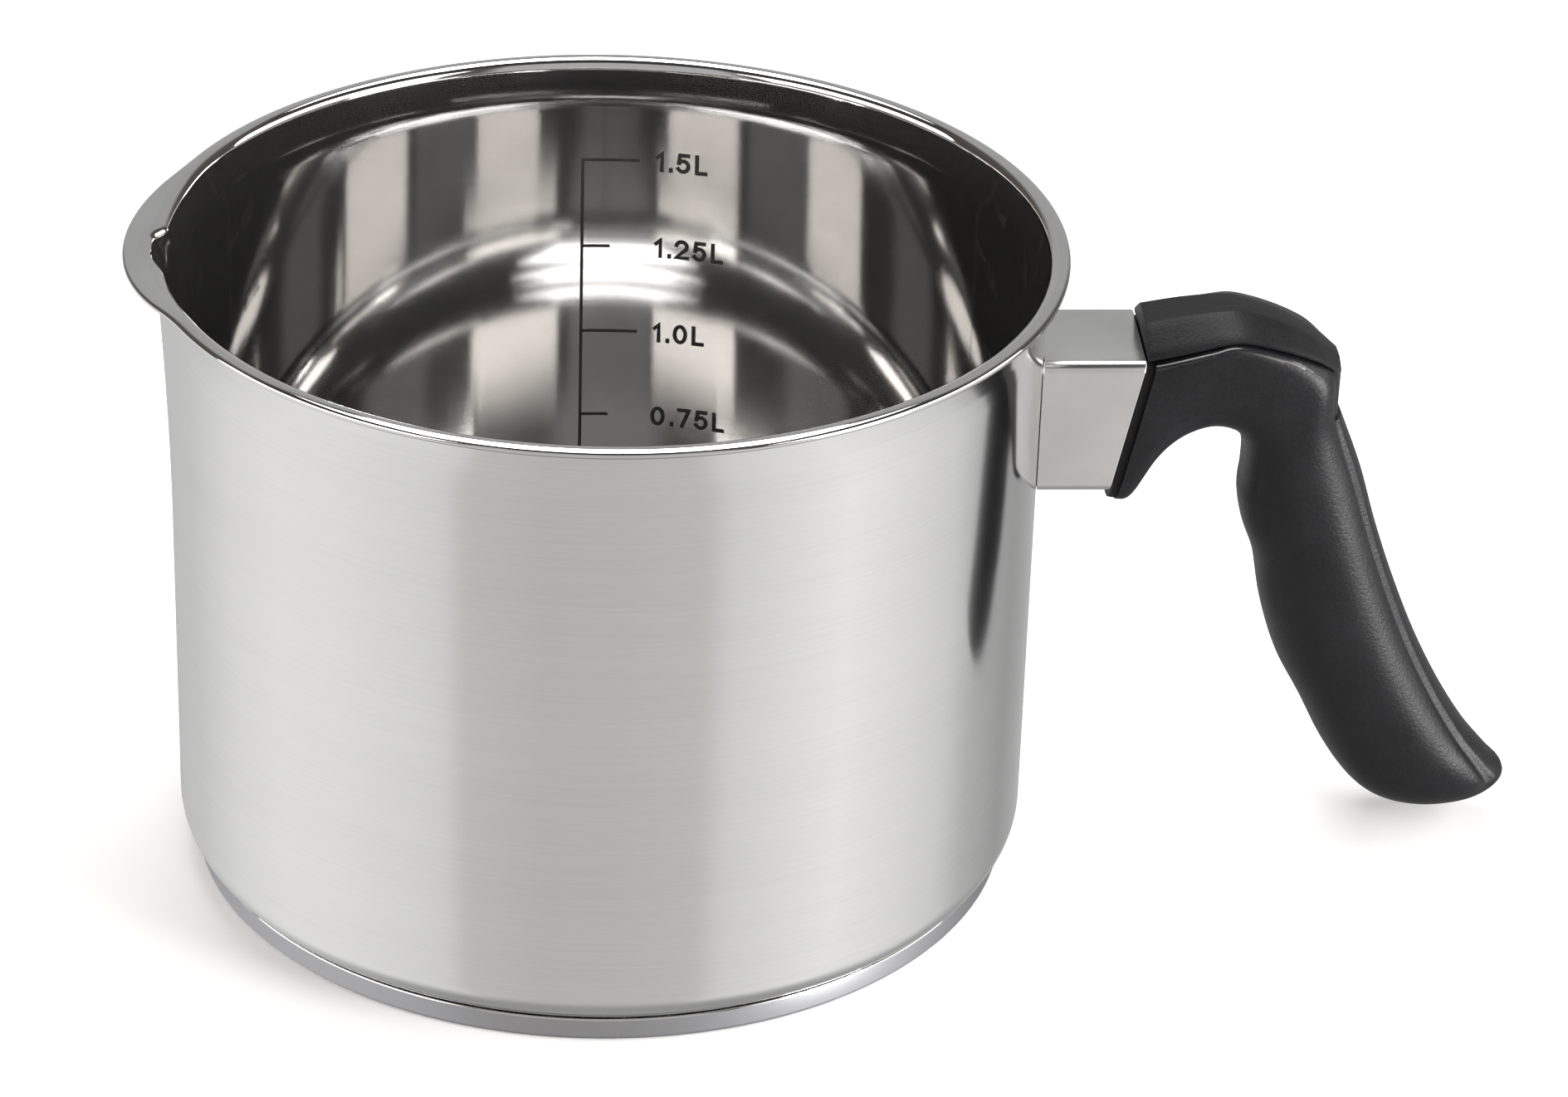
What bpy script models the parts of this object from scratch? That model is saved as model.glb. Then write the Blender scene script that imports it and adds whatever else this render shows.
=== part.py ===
"""Candle melting pot: a single-walled steel pot with a pouring spout and a phenolic side handle.

Run with: blender --background --python part.py

Frame: metres, +Z up. The origin is the centre of the face the pot rests on, the handle points
along +X and the spout points along -X. The pot is symmetric about the XZ plane.
"""
import math

import bmesh
import bpy
from mathutils import Matrix, Vector

MM = 0.001
CLEARANCE = 0.3 * MM            # left between two pieces that touch on the real object
OVERRUN = 1.0 * MM              # how far a cutter runs past the face it opens

# Drawn steel body
BODY_RADIUS = 70.7 * MM         # outside of the straight wall
SHEET = 0.7 * MM
RIM_HEIGHT = 108.8 * MM
LIP_RADIUS = 73.9 * MM
FLARE_START = 101.5 * MM        # height at which the wall starts to open into the lip
FLARE_THROAT = 1.1 * MM         # how far the wall has opened where it bends into the lip
LIP_RISE = 1.0 * MM             # slope of the lip from the bend to its edge
FLOOR_UNDERSIDE = 3.5 * MM
FLOOR_CORNER = 6.3 * MM         # outside radius between floor and wall
BODY_STEPS = 96

# Pouring spout
SPOUT_REACH = 3.4 * MM          # how far the lip stands out at the spout
SPOUT_HALF_ANGLE = math.radians(22)
SPOUT_FOOT = 62.0 * MM          # height at which the wall starts to lean out
SPOUT_POWER = 2.1               # how late the wall leans out
SPOUT_DROOP = 1.2 * MM
LEANING_ROWS = (0.86, 0.63, 0.35, 0.0)    # shares of the way from the spout's foot to the flare

# Capsule base: an aluminium disc held under the floor by a pressed steel cap
CAP_RADIUS = 68.0 * MM
CAP_HEIGHT = 4.0 * MM
CAP_SHEET = 0.5 * MM
CAP_CORNER = 1.0 * MM
CORE_RADIUS = CAP_RADIUS - CAP_SHEET - CLEARANCE
BASE_STEPS = 72

# Ferrule: a steel box sleeve between wall and handle, cut off at a slant
FERRULE_HALF_WIDTH = 10.85 * MM
FERRULE_TOP = 91.2 * MM
FERRULE_BOTTOM = 67.7 * MM
FERRULE_SHEET = 0.8 * MM
FERRULE_CORNER = 1.8 * MM
FERRULE_END_TOP = 86.9 * MM     # x of the slanted end at the top
FERRULE_END_BOTTOM = 82.0 * MM
BLANK_START = 60.0 * MM         # x of the sleeve's ends before they are cut to shape
BLANK_END = 90.0 * MM
CUT_MARGIN = 15.0 * MM          # how far the end cutters reach past the ferrule

# Screwed joint inside the ferrule
SCREW_HEIGHT = 84.0 * MM
SCREW_RADIUS = 2.5 * MM
SCREW_TIP = 72.8 * MM
SCREW_SEAT = 106.5 * MM         # x of the shoulder that the washers press on
HEAD_RADIUS = 4.4 * MM
HEAD_HEIGHT = 3.2 * MM
DRIVE_RADIUS = 1.5 * MM
DRIVE_DEPTH = 1.8 * MM
WASHER_THICKNESS = 1.0 * MM
WASHER_RADIUS = 4.9 * MM
LOCK_THICKNESS = 1.3 * MM
LOCK_RADIUS = 4.2 * MM
LOCK_SLOT = 0.8 * MM
HOLE_RADIUS = SCREW_RADIUS + CLEARANCE
POCKET_RADIUS = 5.3 * MM

# Bracket welded to the wall, with its nut
LUG_SHEET = 1.5 * MM
LUG_BRIDGE = 77.2 * MM          # x of the face that the handle's neck is drawn against
LUG_HALF_WIDTH = 5.6 * MM       # outside of the bridge
LUG_FOOT_REACH = 9.2 * MM       # half width over the two feet
LUG_HALF_HEIGHT = 5.5 * MM
NUT_RADIUS = 4.0 * MM           # to the flats
NUT_THICKNESS = 2.7 * MM

# Handle
NECK_LENGTH = 6.4 * MM          # how far the handle reaches into the ferrule
FACE_GAP = 0.35 * MM            # between the ferrule's end and the handle's face
SECTION_POINTS = 24             # round each section of the handle
BEHIND_HANDLE = 130.0 * MM      # x past the upper part of the handle
ABOVE_HANDLE = 100.0 * MM       # height past the top of the handle
RECESS_HALF_WIDTH = 15.0 * MM   # more than the handle's

# Cover on top of the handle, whose rear tab closes the screw's pocket
TAB_BOTTOM = 78.6 * MM
TAB_FACE = 118.0 * MM           # x of the tab's inner face
PEG_RADIUS = 1.5 * MM
PEG_LENGTH = 3.4 * MM
PEG_BURIED = 2.0 * MM           # length of a peg inside the cover
PEG_PLACES = ((94.5 * MM, 92.2 * MM), (103.5 * MM, 93.6 * MM))    # x and root height

COLOURS = {
    "polished_steel": ((0.62, 0.61, 0.60), 0.22, 1.0),
    "satin_steel": ((0.55, 0.55, 0.56), 0.35, 1.0),
    "aluminium": ((0.68, 0.69, 0.70), 0.45, 1.0),
    "zinc_steel": ((0.50, 0.51, 0.53), 0.40, 1.0),
    "phenolic": ((0.018, 0.018, 0.020), 0.45, 0.0),
    "phenolic_cover": ((0.022, 0.022, 0.024), 0.50, 0.0),
}


def clear_scene():
    for thing in list(bpy.data.objects):
        bpy.data.objects.remove(thing, do_unlink=True)


def make_collection(name):
    group = bpy.data.collections.new(name)
    bpy.context.scene.collection.children.link(group)
    return group


clear_scene()
PARTS = make_collection("candle_melting_pot")
CUTTERS = make_collection("cutters")


def material(name):
    """A metal or plastic surface, made once and shared by name."""
    found = bpy.data.materials.get(name)
    if found:
        return found
    colour, roughness, metallic = COLOURS[name]
    made = bpy.data.materials.new(name)
    made.use_nodes = True
    shader = made.node_tree.nodes["Principled BSDF"]
    shader.inputs["Base Color"].default_value = (*colour, 1.0)
    shader.inputs["Roughness"].default_value = roughness
    shader.inputs["Metallic"].default_value = metallic
    return made


def smooth(mesh, angle=35):
    mesh.shade_smooth()
    mesh.set_sharp_from_angle(angle=math.radians(angle))


def add_part(name, mesh, finish):
    mesh.name = name
    mesh.materials.clear()
    mesh.materials.append(material(finish))
    piece = bpy.data.objects.new(name, mesh)
    PARTS.objects.link(piece)
    return piece


def add_cutter(name, mesh):
    tool = bpy.data.objects.new(name, mesh)
    tool.hide_render = True
    tool.display_type = "WIRE"
    CUTTERS.objects.link(tool)
    return tool


def mesh_from(bm, name):
    bmesh.ops.recalc_face_normals(bm, faces=bm.faces)
    mesh = bpy.data.meshes.new(name)
    bm.to_mesh(mesh)
    bm.free()
    return mesh


def evaluated_mesh(thing):
    """The object's mesh with its modifiers applied; the object itself is removed."""
    graph = bpy.context.evaluated_depsgraph_get()
    mesh = bpy.data.meshes.new_from_object(thing.evaluated_get(graph))
    mesh.transform(thing.matrix_world)
    bpy.data.objects.remove(thing, do_unlink=True)
    return mesh


def cylinder_mesh(name, radius, start, end, steps=24):
    """A solid cylinder between two points."""
    span = end - start
    turn = span.to_track_quat("Z", "Y").to_matrix().to_4x4()
    bm = bmesh.new()
    bmesh.ops.create_cone(
        bm, cap_ends=True, segments=steps, radius1=radius, radius2=radius, depth=span.length,
        matrix=Matrix.Translation((start + end) / 2) @ turn)
    return mesh_from(bm, name)


def box_mesh(name, low, high):
    size = high - low
    bm = bmesh.new()
    bmesh.ops.create_cube(bm, matrix=Matrix.Translation((low + high) / 2) @ Matrix.Diagonal((*size, 1)))
    return mesh_from(bm, name)


def screw_mesh(name, profile, steps):
    """The surface swept by a profile of (radius, height) points about the Z axis."""
    line = bpy.data.meshes.new(name + "_profile")
    points = [(radius, 0.0, height) for radius, height in profile]
    line.from_pydata(points, [(i, i + 1) for i in range(len(points) - 1)], [])
    turned = bpy.data.objects.new(name, line)
    PARTS.objects.link(turned)
    sweep = turned.modifiers.new("turn", "SCREW")
    sweep.steps = steps
    sweep.render_steps = steps
    sweep.use_merge_vertices = True
    sweep.merge_threshold = 0.00001
    return evaluated_mesh(turned)


def extruded_mesh(name, loops, half_depth, placement):
    """A flat outline, with holes where there are more loops, given thickness and placed."""
    curve = bpy.data.curves.new(name, "CURVE")
    curve.dimensions = "2D"
    curve.fill_mode = "BOTH"
    curve.extrude = half_depth
    for loop in loops:
        spline = curve.splines.new("POLY")
        spline.points.add(len(loop) - 1)
        for point, (x, y) in zip(spline.points, loop):
            point.co = (x, y, 0.0, 1.0)
        spline.use_cyclic_u = True
    shape = bpy.data.objects.new(name, curve)
    shape.matrix_world = placement
    PARTS.objects.link(shape)
    bpy.context.view_layer.update()
    mesh = evaluated_mesh(shape)
    bm = bmesh.new()
    bm.from_mesh(mesh)
    bmesh.ops.remove_doubles(bm, verts=bm.verts, dist=0.00001)
    return mesh_from(bm, name)


def boolean(piece, tool, operation="DIFFERENCE"):
    cut = piece.modifiers.new(tool.name, "BOOLEAN")
    cut.operation = operation
    cut.solver = "EXACT"
    cut.object = tool


def bevel(piece, width, segments, angle=40):
    edge = piece.modifiers.new("bevel", "BEVEL")
    edge.width = width
    edge.segments = segments
    edge.limit_method = "ANGLE"
    edge.angle_limit = math.radians(angle)


def arc(centre, radius, first, last, count):
    """Points on an arc, angles in degrees, both ends included."""
    angles = [math.radians(first + (last - first) * i / (count - 1)) for i in range(count)]
    return [(centre[0] + radius * math.cos(a), centre[1] + radius * math.sin(a)) for a in angles]


def bezier(points, count):
    """Points on a cubic curve, both ends included."""
    a, b, c, d = (Vector(point) for point in points)
    steps = [i / (count - 1) for i in range(count)]
    curve = [a * (1 - t) ** 3 + b * 3 * t * (1 - t) ** 2 + c * 3 * t * t * (1 - t) + d * t ** 3
             for t in steps]
    return [tuple(point) for point in curve]


# Pot body

def flare_profile(count):
    """The outside of the lip, from its edge down to the straight wall."""
    underside = RIM_HEIGHT - SHEET
    throat = BODY_RADIUS + FLARE_THROAT
    return bezier([(LIP_RADIUS, underside), (throat, underside - LIP_RISE),
                   (throat - 0.5 * FLARE_THROAT, underside - 2.5 * LIP_RISE),
                   (BODY_RADIUS, FLARE_START)], count)


def spout_push(point):
    """The point of the round body moved out and down where the spout is drawn."""
    radius = math.hypot(point.x, point.y)
    if radius < 0.5 * BODY_RADIUS:
        return point.copy()
    off_axis = math.atan2(abs(point.y), -point.x) / SPOUT_HALF_ANGLE
    rise = (point.z - SPOUT_FOOT) / (RIM_HEIGHT - SPOUT_FOOT)
    if off_axis >= 1 or rise <= 0:
        return point.copy()
    share = (1 - off_axis ** 2) * rise ** SPOUT_POWER
    outward = Vector((point.x, point.y, 0)).normalized()
    return point + outward * SPOUT_REACH * share - Vector((0, 0, SPOUT_DROOP * share))


def make_pot_body():
    corner_centre = (BODY_RADIUS - FLOOR_CORNER, FLOOR_UNDERSIDE + FLOOR_CORNER)
    corner = arc(corner_centre, FLOOR_CORNER, 0, -90, 6)
    leaning_wall = [(BODY_RADIUS, SPOUT_FOOT + (FLARE_START - SPOUT_FOOT) * share) for share in LEANING_ROWS]
    profile = flare_profile(6) + leaning_wall + corner + [(0.0, FLOOR_UNDERSIDE)]
    mesh = screw_mesh("pot_body", profile, BODY_STEPS)
    for vertex in mesh.vertices:
        vertex.co = spout_push(vertex.co)
    smooth(mesh, 50)
    body = add_part("pot_body", mesh, "polished_steel")
    shell = body.modifiers.new("sheet", "SOLIDIFY")
    shell.thickness = SHEET
    shell.offset = -1
    shell.use_even_offset = True
    return body


# Capsule base

def make_base_core():
    top = FLOOR_UNDERSIDE - CLEARANCE
    bottom = CAP_SHEET + CLEARANCE
    mesh = cylinder_mesh("base_core", CORE_RADIUS, Vector((0, 0, bottom)), Vector((0, 0, top)), BASE_STEPS)
    smooth(mesh)
    core = add_part("base_core", mesh, "aluminium")
    bevel(core, 0.4 * MM, 1)


def make_base_cap():
    corner = arc((CAP_RADIUS - CAP_CORNER, CAP_CORNER), CAP_CORNER, 0, -90, 4)
    mesh = screw_mesh("base_cap", [(CAP_RADIUS, CAP_HEIGHT)] + corner + [(0.0, 0.0)], BASE_STEPS)
    smooth(mesh)
    cap = add_part("base_cap", mesh, "satin_steel")
    shell = cap.modifiers.new("sheet", "SOLIDIFY")
    shell.thickness = CAP_SHEET
    shell.offset = -1
    shell.use_even_offset = True


# Steel parts of the handle joint

def ferrule_end(height):
    """x of the ferrule's slanted end at a height."""
    share = (height - FERRULE_BOTTOM) / (FERRULE_TOP - FERRULE_BOTTOM)
    return FERRULE_END_BOTTOM + (FERRULE_END_TOP - FERRULE_END_BOTTOM) * share


def rounded_rectangle(half_width, half_height, radius, count=5):
    corners = [(1, 1, 0), (-1, 1, 90), (-1, -1, 180), (1, -1, 270)]
    points = []
    for side, level, first in corners:
        centre = (side * (half_width - radius), level * (half_height - radius))
        points += arc(centre, radius, first, first + 90, count)
    return points


def slanted_block(name):
    """Everything beyond the slanted end of the ferrule."""
    far = BLANK_END + CUT_MARGIN
    low = FERRULE_BOTTOM - CUT_MARGIN
    high = FERRULE_TOP + CUT_MARGIN
    outline = [(ferrule_end(low), low), (far, low), (far, high), (ferrule_end(high), high)]
    upright = Matrix.Rotation(math.radians(90), 4, "X")
    return extruded_mesh(name, [outline], FERRULE_HALF_WIDTH + CUT_MARGIN, upright)


def make_ferrule():
    middle = (FERRULE_TOP + FERRULE_BOTTOM) / 2
    half_height = (FERRULE_TOP - FERRULE_BOTTOM) / 2
    outer = rounded_rectangle(FERRULE_HALF_WIDTH, half_height, FERRULE_CORNER)
    inner = rounded_rectangle(FERRULE_HALF_WIDTH - FERRULE_SHEET, half_height - FERRULE_SHEET,
                              FERRULE_CORNER - FERRULE_SHEET)
    blank_middle = (BLANK_START + BLANK_END) / 2
    across = Matrix(((0, 0, 1, blank_middle), (1, 0, 0, 0), (0, 1, 0, middle), (0, 0, 0, 1)))
    mesh = extruded_mesh("handle_ferrule", [outer, inner], (BLANK_END - BLANK_START) / 2, across)
    smooth(mesh, 30)
    sleeve = add_part("handle_ferrule", mesh, "polished_steel")
    wall = cylinder_mesh("wall_cutter", BODY_RADIUS + CLEARANCE, Vector((0, 0, FERRULE_BOTTOM - CUT_MARGIN)),
                         Vector((0, 0, FERRULE_TOP + CUT_MARGIN)), 180)
    boolean(sleeve, add_cutter("wall_cutter", wall))
    boolean(sleeve, add_cutter("slant_cutter", slanted_block("slant_cutter")))


def along_x(start, end):
    """The two ends of a length on the screw's axis."""
    return Vector((start, 0, SCREW_HEIGHT)), Vector((end, 0, SCREW_HEIGHT))


def lug_outline():
    """Plan of the bracket: two feet that follow the wall, two webs and the bridge."""
    inner = BODY_RADIUS + CLEARANCE
    outer = inner + LUG_SHEET
    foot = math.degrees(math.asin(LUG_FOOT_REACH / outer))
    web = math.degrees(math.asin(LUG_HALF_WIDTH / outer))
    web_inside = math.degrees(math.asin((LUG_HALF_WIDTH - LUG_SHEET) / inner))
    right_foot = arc((0, 0), outer, -foot, -web, 3)
    left_foot = arc((0, 0), outer, web, foot, 3)
    bridge = [(LUG_BRIDGE, -LUG_HALF_WIDTH), (LUG_BRIDGE, LUG_HALF_WIDTH)]
    left_inside = arc((0, 0), inner, foot, web_inside, 4)
    right_inside = arc((0, 0), inner, -web_inside, -foot, 4)
    hollow = [(LUG_BRIDGE - LUG_SHEET, LUG_HALF_WIDTH - LUG_SHEET),
              (LUG_BRIDGE - LUG_SHEET, LUG_SHEET - LUG_HALF_WIDTH)]
    return right_foot + bridge + left_foot + left_inside + hollow + right_inside


def make_lug():
    placement = Matrix.Translation((0, 0, SCREW_HEIGHT))
    mesh = extruded_mesh("handle_lug", [lug_outline()], LUG_HALF_HEIGHT, placement)
    smooth(mesh, 30)
    lug = add_part("handle_lug", mesh, "zinc_steel")
    hole = cylinder_mesh("lug_hole", HOLE_RADIUS,
                         *along_x(LUG_BRIDGE - LUG_SHEET - OVERRUN, LUG_BRIDGE + OVERRUN))
    boolean(lug, add_cutter("lug_hole", hole))


def make_nut():
    """A hexagon nut behind the bridge."""
    face = LUG_BRIDGE - LUG_SHEET - CLEARANCE
    to_corner = NUT_RADIUS / math.cos(math.radians(30))
    mesh = cylinder_mesh("weld_nut", to_corner, *along_x(face - NUT_THICKNESS, face), steps=6)
    nut = add_part("weld_nut", mesh, "zinc_steel")
    thread = cylinder_mesh("nut_hole", HOLE_RADIUS, *along_x(face - NUT_THICKNESS - OVERRUN, face + OVERRUN))
    boolean(nut, add_cutter("nut_hole", thread))


def washer_positions():
    """x of the near faces of the flat washer, the lock washer and the screw's head."""
    flat = SCREW_SEAT + CLEARANCE
    lock = flat + WASHER_THICKNESS + CLEARANCE
    head = lock + LOCK_THICKNESS + CLEARANCE
    return flat, lock, head


def make_washer(name, radius, start, thickness):
    mesh = cylinder_mesh(name, radius, *along_x(start, start + thickness), steps=28)
    washer = add_part(name, mesh, "zinc_steel")
    smooth(mesh)
    bore = cylinder_mesh(name + "_hole", HOLE_RADIUS, *along_x(start - OVERRUN, start + thickness + OVERRUN))
    boolean(washer, add_cutter(name + "_hole", bore))
    return washer


def make_washers():
    flat, lock, _ = washer_positions()
    make_washer("flat_washer", WASHER_RADIUS, flat, WASHER_THICKNESS)
    split_ring = make_washer("lock_washer", LOCK_RADIUS, lock, LOCK_THICKNESS)
    low = Vector((lock - OVERRUN, -LOCK_SLOT / 2, SCREW_HEIGHT))
    high = Vector((lock + LOCK_THICKNESS + OVERRUN, LOCK_SLOT / 2, SCREW_HEIGHT + LOCK_RADIUS + OVERRUN))
    boolean(split_ring, add_cutter("lock_slot", box_mesh("lock_slot", low, high)))


def make_screw():
    """Cap-head screw: its profile turned about its own axis, with a hexagon socket."""
    head = washer_positions()[2]
    chamfer = 0.5 * MM
    profile = [(0, HEAD_HEIGHT), (HEAD_RADIUS - chamfer, HEAD_HEIGHT),
               (HEAD_RADIUS, HEAD_HEIGHT - chamfer), (HEAD_RADIUS, 0), (SCREW_RADIUS, 0),
               (SCREW_RADIUS, SCREW_TIP - head + chamfer),
               (SCREW_RADIUS - chamfer, SCREW_TIP - head), (0, SCREW_TIP - head)]
    mesh = screw_mesh("handle_screw", profile, 24)
    lay = Matrix.Translation((head, 0, SCREW_HEIGHT)) @ Matrix.Rotation(math.radians(90), 4, "Y")
    mesh.transform(lay)
    smooth(mesh)
    screw = add_part("handle_screw", mesh, "zinc_steel")
    socket = cylinder_mesh("screw_socket", DRIVE_RADIUS / math.cos(math.radians(30)),
                           *along_x(head + HEAD_HEIGHT - DRIVE_DEPTH, head + HEAD_HEIGHT + OVERRUN), steps=6)
    boolean(screw, add_cutter("screw_socket", socket))


# Handle

# Sections of the handle from its face to its tip. Each is a line across the XZ plane, from the
# upper or outer side to the lower or inner side, with its half width and how square it is on
# the outer and on the inner half: 2 is an ellipse, higher is closer to a rectangle.
HANDLE_SECTIONS = [
    # outer x, z       inner x, z      half width, squareness outer, inner
    (87.4, 90.6, 81.95, 65.2, 10.9, 9.0, 7.0),
    (90.0, 91.1, 85.7, 65.2, 10.9, 9.0, 4.0),
    (93.5, 92.0, 89.2, 71.2, 10.9, 9.0, 3.2),
    (97.5, 93.0, 93.4, 75.3, 10.8, 9.0, 3.0),
    (102.0, 93.9, 98.4, 76.9, 10.6, 9.0, 2.8),
    (109.5, 92.0, 102.4, 76.0, 10.4, 8.0, 2.6),
    (114.9, 89.9, 104.4, 73.4, 10.2, 6.0, 2.5),
    (118.6, 86.9, 105.2, 70.0, 10.2, 4.0, 2.4),
    (120.3, 80.8, 105.2, 66.2, 10.2, 3.0, 2.4),
    (122.2, 75.3, 105.1, 62.4, 10.3, 2.5, 2.3),
    (125.1, 67.2, 105.9, 57.4, 10.4, 2.3, 2.3),
    (128.4, 56.8, 108.2, 51.2, 10.6, 2.3, 2.3),
    (132.3, 46.2, 110.3, 42.0, 10.8, 2.3, 2.3),
    (136.8, 35.6, 113.1, 33.0, 10.8, 2.3, 2.3),
    (141.8, 25.9, 117.7, 24.4, 10.6, 2.3, 2.3),
    (147.0, 17.7, 121.9, 16.2, 10.2, 2.3, 2.3),
    (151.6, 12.2, 126.3, 9.7, 9.4, 2.3, 2.3),
    (154.4, 9.0, 130.6, 5.6, 8.0, 2.3, 2.3),
    (152.4, 5.8, 135.4, 3.6, 5.8, 2.2, 2.2),
    (148.6, 3.9, 140.4, 3.1, 2.8, 2.0, 2.0),
]


def section_ring(section):
    """Points round one section: a rounded rectangle across the line from outer to inner."""
    outer = Vector((section[0], 0, section[1])) * MM
    inner = Vector((section[2], 0, section[3])) * MM
    half_width, outer_square, inner_square = section[4] * MM, section[5], section[6]
    centre = (outer + inner) / 2
    reach = (outer - inner) / 2
    points = []
    for i in range(SECTION_POINTS):
        turn = 2 * math.pi * (i + 0.5) / SECTION_POINTS
        square = outer_square if math.sin(turn) > 0 else inner_square
        across = math.copysign(abs(math.cos(turn)) ** (2 / square), math.cos(turn))
        along = math.copysign(abs(math.sin(turn)) ** (2 / square), math.sin(turn))
        points.append(centre + reach * along + Vector((0, half_width * across, 0)))
    return points


def loft_mesh(name, rings):
    """A closed solid through rings with the same number of points; points that meet are joined."""
    bm = bmesh.new()
    rows = [[bm.verts.new(point) for point in ring] for ring in rings]
    count = len(rows[0])
    for near, far in zip(rows, rows[1:]):
        for i in range(count):
            j = (i + 1) % count
            bm.faces.new((near[i], near[j], far[j], far[i]))
    bm.faces.new(rows[0])
    bm.faces.new(rows[-1])
    bmesh.ops.remove_doubles(bm, verts=bm.verts, dist=0.00001)
    bmesh.ops.triangulate(bm, faces=bm.faces)
    return mesh_from(bm, name)


def neck_rings():
    """Two rings of the neck that fills the ferrule's end."""
    margin = FERRULE_SHEET + CLEARANCE
    top = FERRULE_TOP - margin
    bottom = FERRULE_BOTTOM + margin
    rings = []
    for back in (NECK_LENGTH, -FACE_GAP):
        outer = ((ferrule_end(top) - back) / MM, top / MM)
        inner = ((ferrule_end(bottom) - back) / MM, bottom / MM)
        half_width = (FERRULE_HALF_WIDTH - margin) / MM
        rings.append(section_ring((*outer, *inner, half_width, 9.0, 9.0)))
    return rings


def make_grip():
    rings = neck_rings() + [section_ring(section) for section in HANDLE_SECTIONS]
    mesh = loft_mesh("handle_grip", rings)
    smooth(mesh, 40)
    grip = add_part("handle_grip", mesh, "phenolic")
    hole = cylinder_mesh("grip_hole", HOLE_RADIUS,
                         *along_x(LUG_BRIDGE - OVERRUN, SCREW_SEAT + OVERRUN), steps=20)
    boolean(grip, add_cutter("grip_hole", hole))
    pocket = cylinder_mesh("grip_pocket", POCKET_RADIUS, *along_x(SCREW_SEAT, BEHIND_HANDLE), steps=28)
    boolean(grip, add_cutter("grip_pocket", pocket))
    low = Vector((TAB_FACE - CLEARANCE, -RECESS_HALF_WIDTH, TAB_BOTTOM - CLEARANCE))
    high = Vector((BEHIND_HANDLE, RECESS_HALF_WIDTH, ABOVE_HANDLE))
    recess = box_mesh("tab_recess", low, high)
    boolean(grip, add_cutter("tab_recess", recess))
    for number, (x, root) in enumerate(PEG_PLACES, 1):
        name = f"peg_hole_{number}"
        bottom = Vector((x, 0, root - PEG_LENGTH - CLEARANCE))
        socket = cylinder_mesh(name, PEG_RADIUS + CLEARANCE, bottom, Vector((x, 0, ABOVE_HANDLE)), 16)
        boolean(grip, add_cutter(name, socket))


# Sections of the cover's roof across X, from its front end to its rear end: a narrow flat ridge,
# a slope down to each edge, and an underside.
ROOF_SECTIONS = [
    # x, ridge half width, ridge z, edge half width, edge z, underside half width, underside z
    (87.4, 3.9, 95.3, 9.8, 91.4, 9.7, 91.0),
    (93.5, 3.7, 96.4, 9.8, 92.8, 9.7, 92.35),
    (101.0, 3.3, 97.1, 9.7, 94.5, 9.6, 94.1),
    (103.0, 3.2, 96.9, 9.7, 94.5, 9.6, 94.1),
    (109.5, 2.9, 94.8, 9.2, 92.8, 9.1, 92.4),
    (114.9, 2.5, 91.9, 8.0, 90.7, 7.9, 90.3),
    (118.0, 2.2, 89.7, 6.3, 88.5, 6.2, 88.1),
    (119.5, 1.9, 88.2, 4.4, 87.2, 4.3, 86.8),
]

# Sections of the rear tab across X
TAB_SECTIONS = [
    # x, half width, top z
    (118.0, 5.8, 88.3),
    (118.8, 5.3, 87.8),
    (119.4, 4.1, 87.2),
]


def roof_ring(section):
    x, ridge, ridge_z, edge, edge_z, under, under_z = (value * MM for value in section)
    right = [Vector((x, ridge, ridge_z)), Vector((x, edge, edge_z)), Vector((x, under, under_z))]
    left = [Vector((x, -point.y, point.z)) for point in reversed(right)]
    return right + left


def tab_ring(section):
    x, half_width, top = (value * MM for value in section)
    corners = ((half_width, top), (half_width, TAB_BOTTOM), (-half_width, TAB_BOTTOM), (-half_width, top))
    return [Vector((x, y, z)) for y, z in corners]


def make_cover():
    roof = loft_mesh("handle_cover", [roof_ring(section) for section in ROOF_SECTIONS])
    smooth(roof, 20)
    cover = add_part("handle_cover", roof, "phenolic_cover")
    tab = loft_mesh("cover_tab", [tab_ring(section) for section in TAB_SECTIONS])
    boolean(cover, add_cutter("cover_tab", tab), "UNION")
    for number, (x, root) in enumerate(PEG_PLACES, 1):
        name = f"cover_peg_{number}"
        peg = cylinder_mesh(name, PEG_RADIUS, Vector((x, 0, root - PEG_LENGTH)),
                            Vector((x, 0, root + PEG_BURIED)), 16)
        boolean(cover, add_cutter(name, peg), "UNION")


def make_everything():
    make_pot_body()
    make_base_core()
    make_base_cap()
    make_ferrule()
    make_lug()
    make_nut()
    make_washers()
    make_screw()
    make_grip()
    make_cover()


make_everything()
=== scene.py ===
import math

import bmesh
import bpy
from mathutils import Matrix, Vector


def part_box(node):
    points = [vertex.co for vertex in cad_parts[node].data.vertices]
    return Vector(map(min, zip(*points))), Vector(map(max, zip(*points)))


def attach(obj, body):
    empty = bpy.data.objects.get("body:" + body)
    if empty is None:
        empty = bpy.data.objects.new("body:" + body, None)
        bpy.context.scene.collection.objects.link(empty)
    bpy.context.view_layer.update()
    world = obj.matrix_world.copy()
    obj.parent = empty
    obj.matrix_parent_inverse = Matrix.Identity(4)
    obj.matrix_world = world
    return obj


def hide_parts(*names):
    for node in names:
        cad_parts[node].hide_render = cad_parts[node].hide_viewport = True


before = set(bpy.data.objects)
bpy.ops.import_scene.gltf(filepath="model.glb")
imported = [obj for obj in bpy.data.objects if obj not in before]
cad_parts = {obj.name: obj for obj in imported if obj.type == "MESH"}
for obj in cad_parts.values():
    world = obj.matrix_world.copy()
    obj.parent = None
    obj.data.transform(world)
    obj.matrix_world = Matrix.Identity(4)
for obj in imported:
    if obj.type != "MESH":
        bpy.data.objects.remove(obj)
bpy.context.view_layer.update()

MM = 0.001

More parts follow.
